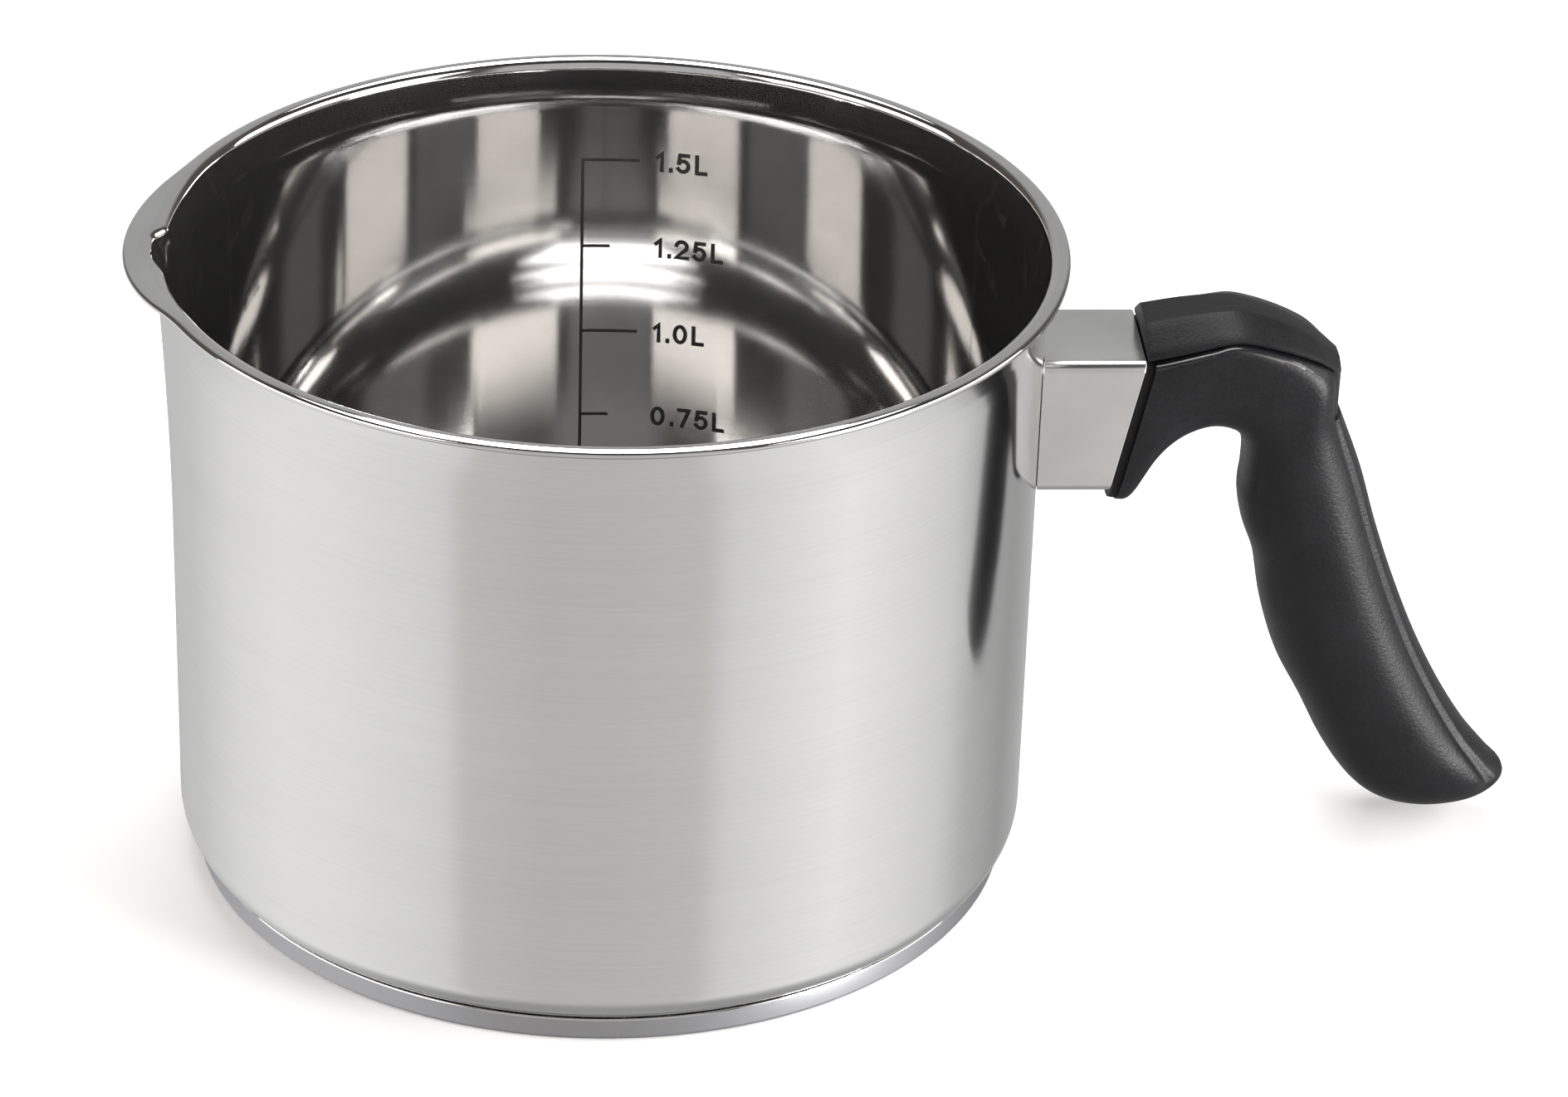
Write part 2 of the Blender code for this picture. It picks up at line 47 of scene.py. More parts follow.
BODY_LOW, BODY_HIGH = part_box("pot_body")
CAP_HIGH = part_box("base_cap")[1]
SLEEVE_LOW, SLEEVE_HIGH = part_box("handle_ferrule")

# Drawn steel body
SHEET = 0.7 * MM
RIM_HEIGHT = BODY_HIGH.z
LIP_RADIUS = BODY_HIGH.x
LIP_WIDTH = 3.2 * MM  # from the wall's outside to the lip's edge
WALL_RADIUS = LIP_RADIUS - LIP_WIDTH  # outside of the straight wall
WALL_INSIDE = WALL_RADIUS - SHEET
EDGE_THICKNESS = 1.05 * MM  # the lip's edge is upset a little
FLARE_HEIGHT = 7.3 * MM  # from the start of the flare to the rim
FLARE_THROAT = 0.95 * MM  # how far the wall has opened where it bends into the lip
LIP_RISE = -0.3 * MM  # of the underside from the bend to the edge: the top is level
LEAN_POINTS = 9  # on the flare's leaning part, then on the part that turns level, on the level
TURN_POINTS = 8  # lip and round its edge
LEVEL_POINTS = 4
EDGE_POINTS = 11
LEAN_HANDLE = Vector((-0.35, -2.0)) * MM  # the first two parts' curve handles and ends, from the bend
LEAN_END = Vector((-0.16, -0.8)) * MM
TURN_HANDLE = Vector((0.0, -0.1)) * MM
TURN_END = Vector((0.8, 0.25)) * MM
FLOOR_UNDERSIDE = BODY_LOW.z
FLOOR_CORNER = 6.0 * MM  # radius outside, between floor and wall
FLOOR_CORNER_INSIDE = 11.0 * MM  # radius inside, where the sheet is thicker
WALL_BANDS = 16
FLAT_SHARES = (0.25, 0.5, 0.75, 0.96)  # radii of the rings in the flat floor

# Pouring spout
SPOUT_REACH = -BODY_LOW.x - LIP_RADIUS
SPOUT_HALF_ANGLE = 22.0  # degrees, of the drawn-out lip
SPOUT_JOIN = 0.85  # shares of that angle between which the lip runs back into
SPOUT_TAIL = 1.15  # the round rim
SPOUT_DROOP = 1.2 * MM
DROOP_POWER = 3
TROUGH_DEPTH = 1.9 * MM  # of the channel pressed in the wall
TROUGH_FOOT = 62.0 * MM  # where the channel runs out
TROUGH_POWER = 1.6  # how late it deepens on the way up
TROUGH_HALF_ANGLE = 4.4  # degrees, to the middle of its sides
SOFT_HALF_ANGLE = 4.2  # half the width of a side low down
CREASE_HALF_ANGLE = 1.7  # and under the lip, on the back side
CREASE_START = 10 * MM  # depths under the rim between which the side sharpens
CREASE_END = 3 * MM
NEAR_CRISPNESS = 0.1  # share of that sharpening on the front side, all the way up

# Directions round the pot as (first, last, step) in degrees, for one half
BODY_BANDS = [(0.0, 154.0, 1.4), (154.0, 170.8, 0.8), (170.8, 178.0, 0.24), (178.0, 180.0, 0.5)]

# Ferrule
SLEEVE_HALF_WIDTH = SLEEVE_HIGH.y
SLEEVE_SHEET = 0.8 * MM
SLEEVE_CORNER = 1.8 * MM
SLEEVE_SLANT = 4.9 * MM  # how much shorter the sleeve is at the bottom
SLEEVE_EDGE = 0.22 * MM  # radius of the rounded ends
SLEEVE_INNER_CORNER = 0.25 * MM
WALL_JOINT = 0.08 * MM  # between the sleeve and the pot's wall
GAP = 0.3 * MM


# Mesh building

def lerp(a, b, share):
    return a + (b - a) * share


def smoothstep(low, high, value):
    share = min(1.0, max(0.0, (value - low) / (high - low)))
    return share * share * (3 - 2 * share)


def arc(centre, radius, first, last, count):
    """Points on an arc, angles in degrees, both ends included."""
    angles = [math.radians(lerp(first, last, i / (count - 1))) for i in range(count)]
    return [(centre[0] + radius * math.cos(a), centre[1] + radius * math.sin(a)) for a in angles]


def bezier(points, count):
    """Points on a cubic curve, both ends included."""
    a, b, c, d = (Vector(point) for point in points)
    steps = [i / (count - 1) for i in range(count)]
    return [a * (1 - t) ** 3 + b * 3 * t * (1 - t) ** 2 + c * 3 * t * t * (1 - t) + d * t ** 3
            for t in steps]


def spline_rows(rows, per_gap):
    """Rows of numbers on a smooth curve through the given rows, which are kept."""
    made = []
    last = len(rows) - 1
    for i in range(last):
        before, start, end, after = (rows[min(last, max(0, i + k))] for k in (-1, 0, 1, 2))
        for step in range(per_gap):
            t = step / per_gap
            made.append([0.5 * (2 * b + (c - a) * t + (2 * a - 5 * b + 4 * c - d) * t * t
                                + (3 * b - a - 3 * c + d) * t ** 3)
                         for a, b, c, d in zip(before, start, end, after)])
    made.append(list(rows[-1]))
    return made


def mesh_from(bm, name):
    mesh = bpy.data.meshes.new(name)
    bm.to_mesh(mesh)
    bm.free()
    return mesh


def tube(bm, rows, closed=False):
    """Faces between neighbouring rings of vertices, and over both ends unless the rows close up."""
    for near, far in zip(rows, rows[1:] + rows[:1] if closed else rows[1:]):
        for i in range(len(near)):
            j = (i + 1) % len(near)
            bm.faces.new((near[i], near[j], far[j], far[i]))
    if not closed:
        bm.faces.new(rows[0])
        bm.faces.new(rows[-1])


def ring_mesh(name, rings, close_rows=False, first_pole=None, last_pole=None, slots=None):
    """A skin through closed rings. A pole closes an end, or the last ring meets the first."""
    bm = bmesh.new()
    rows = [[bm.verts.new(point) for point in ring] for ring in rings]
    count = len(rows[0])

    def add_face(number, *corners):
        bm.faces.new(corners).material_index = slots[number] if slots else 0

    for number, (near, far) in enumerate(zip(rows, rows[1:] + rows[:1] if close_rows else rows[1:])):
        for i in range(count):
            j = (i + 1) % count
            add_face(number, near[i], near[j], far[j], far[i])
    for pole, row, number in ((first_pole, rows[0], 0), (last_pole, rows[-1], -1)):
        if pole is not None:
            tip = bm.verts.new(pole)
            for i in range(count):
                add_face(number, row[i], row[(i + 1) % count], tip)
    bmesh.ops.recalc_face_normals(bm, faces=bm.faces)
    return mesh_from(bm, name)


def turned_rings(profile, steps):
    """Points (radius, height) turned round the Z axis."""
    turns = [2 * math.pi * i / steps for i in range(steps)]
    return [[(r * math.cos(turn), r * math.sin(turn), z) for turn in turns] for r, z in profile]


def add_object(name, data):
    made = bpy.data.objects.new(name, data)
    bpy.context.scene.collection.objects.link(made)
    return made


def add_piece(name, mesh, materials, sharp=180):
    """An object with its materials, smooth but for edges steeper than sharp, in degrees."""
    for finish in materials:
        mesh.materials.append(finish)
    mesh.shade_smooth()
    if sharp < 180:
        mesh.set_sharp_from_angle(angle=math.radians(sharp))
    return add_object(name, mesh)


def settle(piece):
    """Applies the piece's modifiers."""
    graph = bpy.context.evaluated_depsgraph_get()
    mesh = bpy.data.meshes.new_from_object(piece.evaluated_get(graph))
    piece.modifiers.clear()
    piece.data = mesh


def cylinder(name, radius, start, end, steps=48):
    """A round rod between two points."""
    span = end - start
    turn = span.to_track_quat("Z", "Y").to_matrix().to_4x4()
    bm = bmesh.new()
    bmesh.ops.create_cone(bm, cap_ends=True, segments=steps, radius1=radius, radius2=radius,
                          depth=span.length, matrix=Matrix.Translation((start + end) / 2) @ turn)
    return mesh_from(bm, name)


def block(name, low, high):
    bm = bmesh.new()
    place = Matrix.Translation((low + high) / 2) @ Matrix.Diagonal((*(high - low), 1))
    bmesh.ops.create_cube(bm, matrix=place)
    return mesh_from(bm, name)


def combine(piece, tools, operation="DIFFERENCE"):
    """Cuts the meshes out of the piece, or joins them to it."""
    objects = []
    for mesh in tools:
        tool = add_object(mesh.name, mesh)
        step = piece.modifiers.new(mesh.name, "BOOLEAN")
        step.operation = operation
        step.solver = "EXACT"
        step.object = tool
        objects.append(tool)
    settle(piece)
    for tool in objects:
        bpy.data.objects.remove(tool, do_unlink=True)


# Materials

NOISE_LOW = 0.3  # between these a noise is stretched to its full range
NOISE_HIGH = 0.7


def add_node(tree, kind, **inputs):
    """A shader node with its inputs set, or joined where the value is another node's output."""
    node = tree.nodes.new("ShaderNode" + kind)
    for label, value in inputs.items():
        feed(tree, node.inputs[label.replace("_", " ")], value)
    return node


def feed(tree, socket, value):
    if isinstance(value, bpy.types.NodeSocket):
        tree.links.new(value, socket)
    else:
        socket.default_value = value


def calculate(tree, operation, *values):
    """The result of a sum on values or outputs."""
    node = add_node(tree, "Math")
    node.operation = operation
    for socket, value in zip(node.inputs, values):
        feed(tree, socket, value)
    return node.outputs["Value"]


class Finish:
    """A node material being put together round one Principled BSDF."""

    def __init__(self, name, colour, roughness, metallic, **constants):
        self.material = bpy.data.materials.new(name)
        self.material.use_nodes = True
        self.tree = self.material.node_tree
        self.shader = self.tree.nodes["Principled BSDF"]
        self.set("Base Color", (*colour, 1.0))
        self.set("Roughness", roughness)
        self.set("Metallic", metallic)
        for label, value in constants.items():
            self.set(label.replace("_", " "), value)

    def set(self, label, value):
        feed(self.tree, self.shader.inputs[label], value)

    def coordinates(self, scale):
        """Object coordinates, stretched."""
        place = add_node(self.tree, "TexCoord").outputs["Object"]
        return add_node(self.tree, "Mapping", Scale=scale, Vector=place).outputs["Vector"]

    def radius(self, scale):
        """Distance from the Z axis, as a coordinate of its own."""
        length = add_node(self.tree, "VectorMath", Vector=self.coordinates((scale, scale, 0.0)))
        length.operation = "LENGTH"
        return add_node(self.tree, "CombineXYZ", X=length.outputs["Value"]).outputs["Vector"]

    def noise(self, vector, detail=3.0, rough=0.55):
        texture = add_node(self.tree, "TexNoise", Scale=1.0, Detail=detail, Roughness=rough, Vector=vector)
        return texture.outputs["Fac"]

    def spread(self, value, low, high):
        """A noise stretched to run from low to high."""
        node = add_node(self.tree, "MapRange", From_Min=NOISE_LOW, From_Max=NOISE_HIGH, To_Min=low,
                        To_Max=high, Value=value)
        return node.outputs["Result"]

    def average(self, first, second):
        return calculate(self.tree, "MULTIPLY", calculate(self.tree, "ADD", first, second), 0.5)

    def tint(self, value, dark, light):
        """The base colour runs from one colour to another with a value."""
        ramp = add_node(self.tree, "ValToRGB", Fac=value)
        ends = ((NOISE_LOW, dark), (NOISE_HIGH, light))
        for element, (position, colour) in zip(ramp.color_ramp.elements, ends):
            element.position = position
            element.color = (*colour, 1.0)
        self.set("Base Color", ramp.outputs["Color"])

    def roughen(self, value, low, high):
        self.set("Roughness", self.spread(value, low, high))

    def bump(self, value, distance, strength=1.0):
        node = add_node(self.tree, "Bump", Strength=strength, Distance=distance, Height=value)
        self.set("Normal", node.outputs["Normal"])

    def brush_around(self):
        """Highlights stretch across a grain that runs round the Z axis."""
        tangent = add_node(self.tree, "Tangent")
        tangent.direction_type = "RADIAL"
        tangent.axis = "Z"
        self.set("Tangent", tangent.outputs["Tangent"])


def shade(colour, factor):
    return tuple(channel * factor for channel in colour)


STEEL = (0.655, 0.650, 0.645)
# The ring's steel is darker than STEEL: painted shade for the darker surroundings that the ring reflects
RING_STEEL_PAINTED_SHADE = (0.37, 0.37, 0.385)
QUARTER_TURN = 0.25  # of the highlight, so that it stretches across the lines


def turned_steel(name, grain, roughness, anisotropy, depth, colour=STEEL, haze=0.0):
    """Steel polished on a lathe: fine lines run round the pot. grain is how many there are in a
    metre of height, and depth is how deep they are."""
    finish = Finish(name, colour, roughness, 1.0 - haze, Anisotropic=anisotropy,
                    Anisotropic_Rotation=QUARTER_TURN)
    finish.brush_around()
    fine = finish.noise(finish.coordinates((18.0, 18.0, grain)), detail=4.0)
    broad = finish.noise(finish.coordinates((9.0, 9.0, 90.0)), detail=3.0)
    cloud = finish.noise(finish.coordinates((28.0, 28.0, 34.0)), detail=3.0)
    faint = calculate(finish.tree, "MULTIPLY_ADD", fine, 0.5, 0.25)
    finish.tint(finish.average(fine, broad), shade(colour, 0.955), shade(colour, 1.035))
    finish.roughen(finish.average(faint, cloud), roughness * 0.8, roughness * 1.25)
    finish.bump(fine, depth)
    return finish.material


def spun_steel(name, roughness, depth):
    """Flat steel with fine concentric lines."""
    finish = Finish(name, STEEL, roughness, 1.0, Anisotropic=0.6, Anisotropic_Rotation=QUARTER_TURN)
    finish.brush_around()
    rings = finish.noise(finish.radius(1600.0), detail=4.0)
    cloud = finish.noise(finish.coordinates((30.0, 30.0, 30.0)))
    finish.tint(finish.average(rings, cloud), shade(STEEL, 0.92), shade(STEEL, 1.03))
    finish.roughen(cloud, roughness * 0.8, roughness * 1.3)
    finish.bump(rings, depth)
    return finish.material


def polished_steel(name, roughness):
    """Buffed steel: faint haze and hairlines."""
    finish = Finish(name, STEEL, roughness, 1.0)
    cloud = finish.noise(finish.coordinates((60.0, 60.0, 60.0)), detail=4.0)
    hair = finish.noise(finish.coordinates((60.0, 60.0, 2200.0)), detail=2.0)
    finish.tint(cloud, shade(STEEL, 0.95), shade(STEEL, 1.03))
    finish.roughen(finish.average(cloud, hair), roughness * 0.7, roughness * 1.4)
    finish.bump(hair, 0.0004 * MM)
    return finish.material


def sleeve_steel(name):
    """Satin steel with a grain along the sleeve."""
    finish = Finish(name, STEEL, 0.2, 1.0)
    grain = finish.noise(finish.coordinates((60.0, 1800.0, 1800.0)), detail=3.0)
    cloud = finish.noise(finish.coordinates((90.0, 90.0, 90.0)))
    finish.tint(cloud, shade(STEEL, 0.95), shade(STEEL, 1.04))
    finish.roughen(finish.average(grain, cloud), 0.16, 0.27)
    finish.bump(grain, 0.0012 * MM)
    return finish.material


def phenolic(name, colour, roughness, grain=0.06 * MM, shine=0.2):
    """Moulded black phenolic with a fine grain, a little lighter on its high spots."""
    finish = Finish(name, colour, roughness, 0.0, Specular_IOR_Level=shine, IOR=1.5)
    pits = finish.noise(finish.coordinates((1900.0,) * 3), detail=2.0, rough=0.6)
    cloud = finish.noise(finish.coordinates((120.0,) * 3), detail=3.0)
    finish.tint(finish.average(pits, cloud), shade(colour, 0.75), shade(colour, 1.35))
    finish.roughen(finish.average(pits, cloud), roughness * 0.85, roughness * 1.2)
    finish.bump(pits, grain)
    return finish.material


def dull_metal(name, colour, roughness):
    """Plated or cast metal inside the joint: mottled, with fine turning lines."""
    finish = Finish(name, colour, roughness, 1.0)
    mottle = finish.noise(finish.coordinates((400.0,) * 3), detail=4.0)
    lines = finish.noise(finish.coordinates((300.0, 3000.0, 3000.0)))
    finish.tint(mottle, shade(colour, 0.8), shade(colour, 1.1))
    finish.roughen(mottle, roughness * 0.8, roughness * 1.25)
    finish.bump(lines, 0.01 * MM, 0.5)
    return finish.material


def etched_marking(name):
    """Grey oxide marks on the steel, worn lighter in places."""
    colour = (0.03, 0.029, 0.028)
    finish = Finish(name, colour, 0.6, 0.0, Specular_IOR_Level=0.2)
    speckle = finish.noise(finish.coordinates((1500.0,) * 3), detail=3.0)
    finish.tint(speckle, shade(colour, 0.6), shade(colour, 1.7))
    finish.roughen(speckle, 0.5, 0.75)
    finish.bump(speckle, 0.004 * MM)
    return finish.material


def make_materials():
    return {
        "outside": turned_steel("steel_outside", 2400.0, 0.12, 0.6, 0.0004 * MM),
        "inside": turned_steel("steel_inside", 1800.0, 0.055, 0.4, 0.0001 * MM, haze=0.012),
        "floor": spun_steel("steel_floor", 0.075, 0.0002 * MM),
        "lip": polished_steel("steel_lip", 0.05),
        # the ring's darker base colour is painted shade
        "ring": turned_steel("steel_ring_painted_shade", 3200.0, 0.34, 0.6, 0.001 * MM, colour=RING_STEEL_PAINTED_SHADE),
        "base": spun_steel("steel_base", 0.32, 0.002 * MM),
        "sleeve": sleeve_steel("steel_sleeve"),
        "grip": phenolic("phenolic_grip", (0.006, 0.006, 0.007), 0.4),
        "cover": phenolic("phenolic_cover", (0.007, 0.007, 0.008), 0.42),
        # Glossier, lighter phenolic for the upward-facing shoulder beside the cover: the lighter colour is
        # a painted highlight line
        "glossy_painted_highlight": phenolic("phenolic_painted_highlight_edge", (0.012, 0.012, 0.013), 0.2, 0.005 * MM, 0.7),
        "aluminium": dull_metal("aluminium_core", (0.68, 0.69, 0.70), 0.42),
        "zinc": dull_metal("zinc_plate", (0.52, 0.53, 0.55), 0.38),
        "marking": etched_marking("etched_marking"),
    }


# Pot

def flare_rows():
    """Points (radius, height) up the outside and the inside of the flare, from the wall to the edge."""
    start = RIM_HEIGHT - FLARE_HEIGHT
    brim = RIM_HEIGHT - EDGE_THICKNESS
    end = LIP_RADIUS - EDGE_THICKNESS / 2
    throat = WALL_RADIUS + FLARE_THROAT
    bend = Vector((throat, brim - LIP_RISE))
    first_handle = (WALL_RADIUS + 0.2 * FLARE_THROAT, start + 0.35 * FLARE_HEIGHT)
    leaning = bezier([(WALL_RADIUS, start), first_handle, bend + LEAN_HANDLE, bend + LEAN_END], LEAN_POINTS)
    turned = bezier([leaning[-1], bend + TURN_HANDLE, bend, bend + TURN_END], TURN_POINTS)
    level = [turned[-1].lerp(Vector((end, brim)), (i + 1) / LEVEL_POINTS) for i in range(LEVEL_POINTS)]
    outside = leaning + turned[1:] + level
    inside = []
    for i, point in enumerate(outside):
        before = outside[max(0, i - 1)]
        after = outside[min(len(outside) - 1, i + 1)]
        along = (after - before).normalized()
        thickness = lerp(SHEET, EDGE_THICKNESS, smoothstep(0.7, 1.0, i / (len(outside) - 1)))
        inside.append(point + Vector((-along.y, along.x)) * thickness)
    return outside, inside


def lip_share(radius):
    """0 on the wall, 1 on the lip, for a radius outside."""
    return smoothstep(WALL_RADIUS + 0.8 * FLARE_THROAT, LIP_RADIUS - 0.6 * MM, radius)


def body_profile():
    """The body's section from the middle of its underside, round the lip, to the middle of the floor.
    Each row is (radius, height, share of the lip, finish of the band that starts there)."""
    outside_finish, lip_finish, inside_finish, floor_finish = range(4)
    outside, inside = flare_rows()
    edge_centre = (outside[-1] + inside[-1]) / 2
    reach = (outside[-1] - edge_centre).length
    first = math.degrees(math.atan2(outside[-1].y - edge_centre.y, outside[-1].x - edge_centre.x))
    edge = arc(edge_centre, reach, first, first + 180, EDGE_POINTS)[1:-1]
    flat = [(WALL_INSIDE - FLOOR_CORNER_INSIDE) * share for share in FLAT_SHARES]
    wall = [lerp(TROUGH_FOOT, RIM_HEIGHT - FLARE_HEIGHT, i / WALL_BANDS) for i in range(WALL_BANDS)]
    floor = FLOOR_UNDERSIDE + SHEET
    centre_out = (WALL_RADIUS - FLOOR_CORNER, FLOOR_UNDERSIDE + FLOOR_CORNER)
    corner_out = arc(centre_out, FLOOR_CORNER, -90, 0, 15)
    centre_in = (WALL_INSIDE - FLOOR_CORNER_INSIDE, floor + FLOOR_CORNER_INSIDE)
    corner_in = arc(centre_in, FLOOR_CORNER_INSIDE, 0, -90, 19)
    rows = [(r, FLOOR_UNDERSIDE, 0, outside_finish) for r in flat]
    rows += [(r, z, 0, outside_finish) for r, z in corner_out]
    rows += [(WALL_RADIUS, z, 0, outside_finish) for z in wall]
    rows += [(p.x, p.y, lip_share(p.x), lip_finish if i >= LEAN_POINTS else outside_finish)
             for i, p in enumerate(outside)]
    rows += [(r, z, 1, lip_finish) for r, z in edge]
    rows += [(p.x, p.y, lip_share(q.x), lip_finish if i > LEAN_POINTS else inside_finish)
             for i, (p, q) in reversed(list(enumerate(zip(inside, outside))))]
    rows += [(WALL_INSIDE, z, 0, inside_finish) for z in reversed(wall)]
    rows += [(r, z, 0, floor_finish) for r, z in corner_in]
    rows += [(r, floor, 0, floor_finish) for r in reversed(flat)]
    return rows


def spout_profile(off_angle):
    """How far the lip is drawn out at an angle from the spout's middle, 1 at the middle."""
    share = off_angle / SPOUT_HALF_ANGLE
    if share < SPOUT_JOIN:
        return 1 - share * share
    if share < SPOUT_TAIL:
        return (1 - SPOUT_JOIN * SPOUT_JOIN) * ((SPOUT_TAIL - share) / (SPOUT_TAIL - SPOUT_JOIN)) ** 2
    return 0.0


def spout_point(radius, height, lip, azimuth):
    """A point of the body, moved where the lip is drawn out and where the channel is pressed."""
    angle = math.degrees(math.pi - azimuth)
    off_angle = abs(angle)
    drawn = spout_profile(off_angle)
    rise = max(0.0, (height - TROUGH_FOOT) / (RIM_HEIGHT - TROUGH_FOOT))
    crisp = NEAR_CRISPNESS
    if angle > 0:
        crisp = smoothstep(RIM_HEIGHT - CREASE_START, RIM_HEIGHT - CREASE_END, height)
    side = lerp(SOFT_HALF_ANGLE, CREASE_HALF_ANGLE, crisp)
    channel = 1 - smoothstep(TROUGH_HALF_ANGLE - side, TROUGH_HALF_ANGLE + side, off_angle)
    out = radius + lerp(TROUGH_DEPTH * channel * rise ** TROUGH_POWER, SPOUT_REACH * drawn, lip)
    droop = SPOUT_DROOP * drawn * rise ** DROOP_POWER
    return Vector((out * math.cos(azimuth), out * math.sin(azimuth), height - droop))


def body_azimuths():
    """Directions round the pot, closer together at the spout and closest at its creases."""
    half = []
    for start, end, step in BODY_BANDS:
        count = round((end - start) / step)
        half += [lerp(start, end, i / count) for i in range(count)]
    angles = half + [360.0 - angle for angle in [180.0] + half[:0:-1]]
    return [math.radians(angle) for angle in angles]


def make_body(finishes):
    rows = body_profile()
    azimuths = body_azimuths()
    rings = [[spout_point(radius, height, lip, azimuth) for azimuth in azimuths]
             for radius, height, lip, _ in rows]
    mesh = ring_mesh("melting_pot_body", rings,
                     first_pole=(0, 0, FLOOR_UNDERSIDE), last_pole=(0, 0, FLOOR_UNDERSIDE + SHEET),
                     slots=[row[3] for row in rows])
    body = add_piece("melting_pot_body", mesh,
                     [finishes[key] for key in ("outside", "lip", "inside", "floor")])
    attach(body, "root")
    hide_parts("pot_body")


# Litre scale on the inside of the wall

MARK_LINE = 91.6  # degrees, azimuth of the upright line
MARK_WIDTH = 0.55 * MM
MARK_TOP = 90.4 * MM
MARK_STEP = 16.55 * MM  # height between two marks
LONG_TICK = 9.9 * MM
SHORT_TICK = 4.9 * MM
LINE_FOOT = MARK_TOP - 5 * MARK_STEP + 9 * MM
LABELS = ("1.5L", "1.25L", "1.0L", "0.75L", "0.5L")
LABEL_OFFSET = 12.9 * MM  # from the upright line
LABEL_HEIGHT = 3.8 * MM
MARK_LIFT = 0.045 * MM  # of the marks' faces above the steel
MARK_THICKNESS = 0.03 * MM
BAR_STEP = 0.8 * MM  # longest straight piece of a bar, which bends with the wall


def on_wall(along, height, lift):
    """A point beside the upright line, along the wall towards the handle."""
    azimuth = math.radians(MARK_LINE) - along / WALL_INSIDE
    radius = WALL_INSIDE - lift
    return Vector((radius * math.cos(azimuth), radius * math.sin(azimuth), height))


def mark_section(bm, first, second):
    """The four corners of a mark's section between two points (along, height)."""
    face, back = MARK_LIFT, MARK_LIFT - MARK_THICKNESS
    corners = ((*first, face), (*second, face), (*second, back), (*first, back))
    return [bm.verts.new(on_wall(*corner)) for corner in corners]


def add_bar(bm, left, right, low, high):
    """A thin bent bar of marking."""
    steps = max(1, math.ceil((right - left) / BAR_STEP))
    places = [lerp(left, right, i / steps) for i in range(steps + 1)]
    tube(bm, [mark_section(bm, (along, low), (along, high)) for along in places])


# The labels' characters on a grid one unit high: the width, and the strokes, each ("line", points)
# or ("arc", centre, half width, half height, first and last angle in degrees)
GLYPHS = {
    "0": (0.62, [("arc", (0.31, 0.5), 0.31, 0.5, 0, 360)]),
    "1": (0.34, [("line", [(0.05, 0.78), (0.28, 1.0), (0.28, 0.0)])]),
    "2": (0.60, [("arc", (0.30, 0.70), 0.30, 0.30, 165, -42),
                 ("line", [(0.52, 0.50), (0.0, 0.0), (0.62, 0.0)])]),
    "5": (0.60, [("line", [(0.56, 1.0), (0.10, 1.0), (0.05, 0.52)]),
                 ("arc", (0.28, 0.33), 0.31, 0.33, 135, -150)]),
    "7": (0.58, [("line", [(0.0, 1.0), (0.58, 1.0), (0.20, 0.0)])]),
    "L": (0.52, [("line", [(0.04, 1.0), (0.04, 0.0), (0.54, 0.0)])]),
    ".": (0.16, [("line", [(0.08, 0.0), (0.08, 0.06)])]),
}
LETTER_GAP = 0.24  # between two characters, in character heights
STROKE = 0.72 * MM
ARC_STEP = 15  # degrees between two points of an arc


def stroke_points(stroke):
    """A stroke as points in label units."""
    if stroke[0] == "line":
        return [Vector(point) for point in stroke[1]]
    centre, half_width, half_height, first, last = stroke[1:]
    steps = max(4, round(abs(last - first) / ARC_STEP))
    angles = [math.radians(lerp(first, last, i / steps)) for i in range(steps + 1)]
    return [Vector((centre[0] + half_width * math.cos(a), centre[1] + half_height * math.sin(a)))
            for a in angles]


def add_stroke(bm, points, left, bottom):
    """A thin ribbon of marking along a line of points, in label units, mitred at its corners."""
    scale = LABEL_HEIGHT - STROKE
    path = [Vector((left + p.x * scale, bottom + STROKE / 2 + p.y * scale)) for p in points]
    closed = (path[0] - path[-1]).length < 0.01 * MM
    if closed:
        path.pop()
    count = len(path)
    rows = []
    for i, point in enumerate(path):
        before = path[i - 1] if i or closed else None
        after = path[(i + 1) % count] if i < count - 1 or closed else None
        ahead = (after - point).normalized() if after else (point - before).normalized()
        behind = (point - before).normalized() if before else ahead
        along = (ahead + behind).normalized()
        half = STROKE / 2 / max(0.5, along.dot(ahead))
        side = Vector((-along.y, along.x)) * half
        end = Vector((0, 0)) if before and after else (ahead * STROKE / 2 * (1 if before else -1))
        rows.append(mark_section(bm, point + side + end, point - side + end))
    tube(bm, rows, closed)


def add_label(bm, text, height):
    """A label whose middle is level with its mark."""
    left = LABEL_OFFSET
    for character in text:
        width, strokes = GLYPHS[character]
        for stroke in strokes:
            add_stroke(bm, stroke_points(stroke), left, height - LABEL_HEIGHT / 2)
        left += (width + LETTER_GAP) * LABEL_HEIGHT


def make_litre_scale(finishes):
    bm = bmesh.new()
    half = MARK_WIDTH / 2
    add_bar(bm, -half, half, LINE_FOOT, MARK_TOP + half)
    for number, label in enumerate(LABELS):
        height = MARK_TOP - number * MARK_STEP
        length = SHORT_TICK if number % 2 else LONG_TICK
        add_bar(bm, half, length, height - half, height + half)
        add_label(bm, label, height)
    bmesh.ops.recalc_face_normals(bm, faces=bm.faces)
    marks = add_piece("litre_scale", mesh_from(bm, "litre_scale"), [finishes["marking"]], sharp=30)
    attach(marks, "root")


# Base

CAP_RADIUS = CAP_HIGH.x
CAP_HEIGHT = CAP_HIGH.z
CAP_SHEET = 0.5 * MM
CAP_CORNER = 0.9 * MM
CAP_EDGE = CAP_SHEET / 2
BASE_DISH = 0.25 * MM  # the middle of the underside stands clear of the table
FOOT_WIDTH = 5.0 * MM
FOOT_BLEND = 0.6 * MM  # from the dish to the foot
DISH_SHARES = (0.25, 0.5, 0.75, 0.97)  # radii of the rings in the dish
INNER_CHAMFER = 0.6 * MM
CORE_OVERLAP = 0.05 * MM  # the cap's upper face lies just under the core's
BASE_STEPS = 288


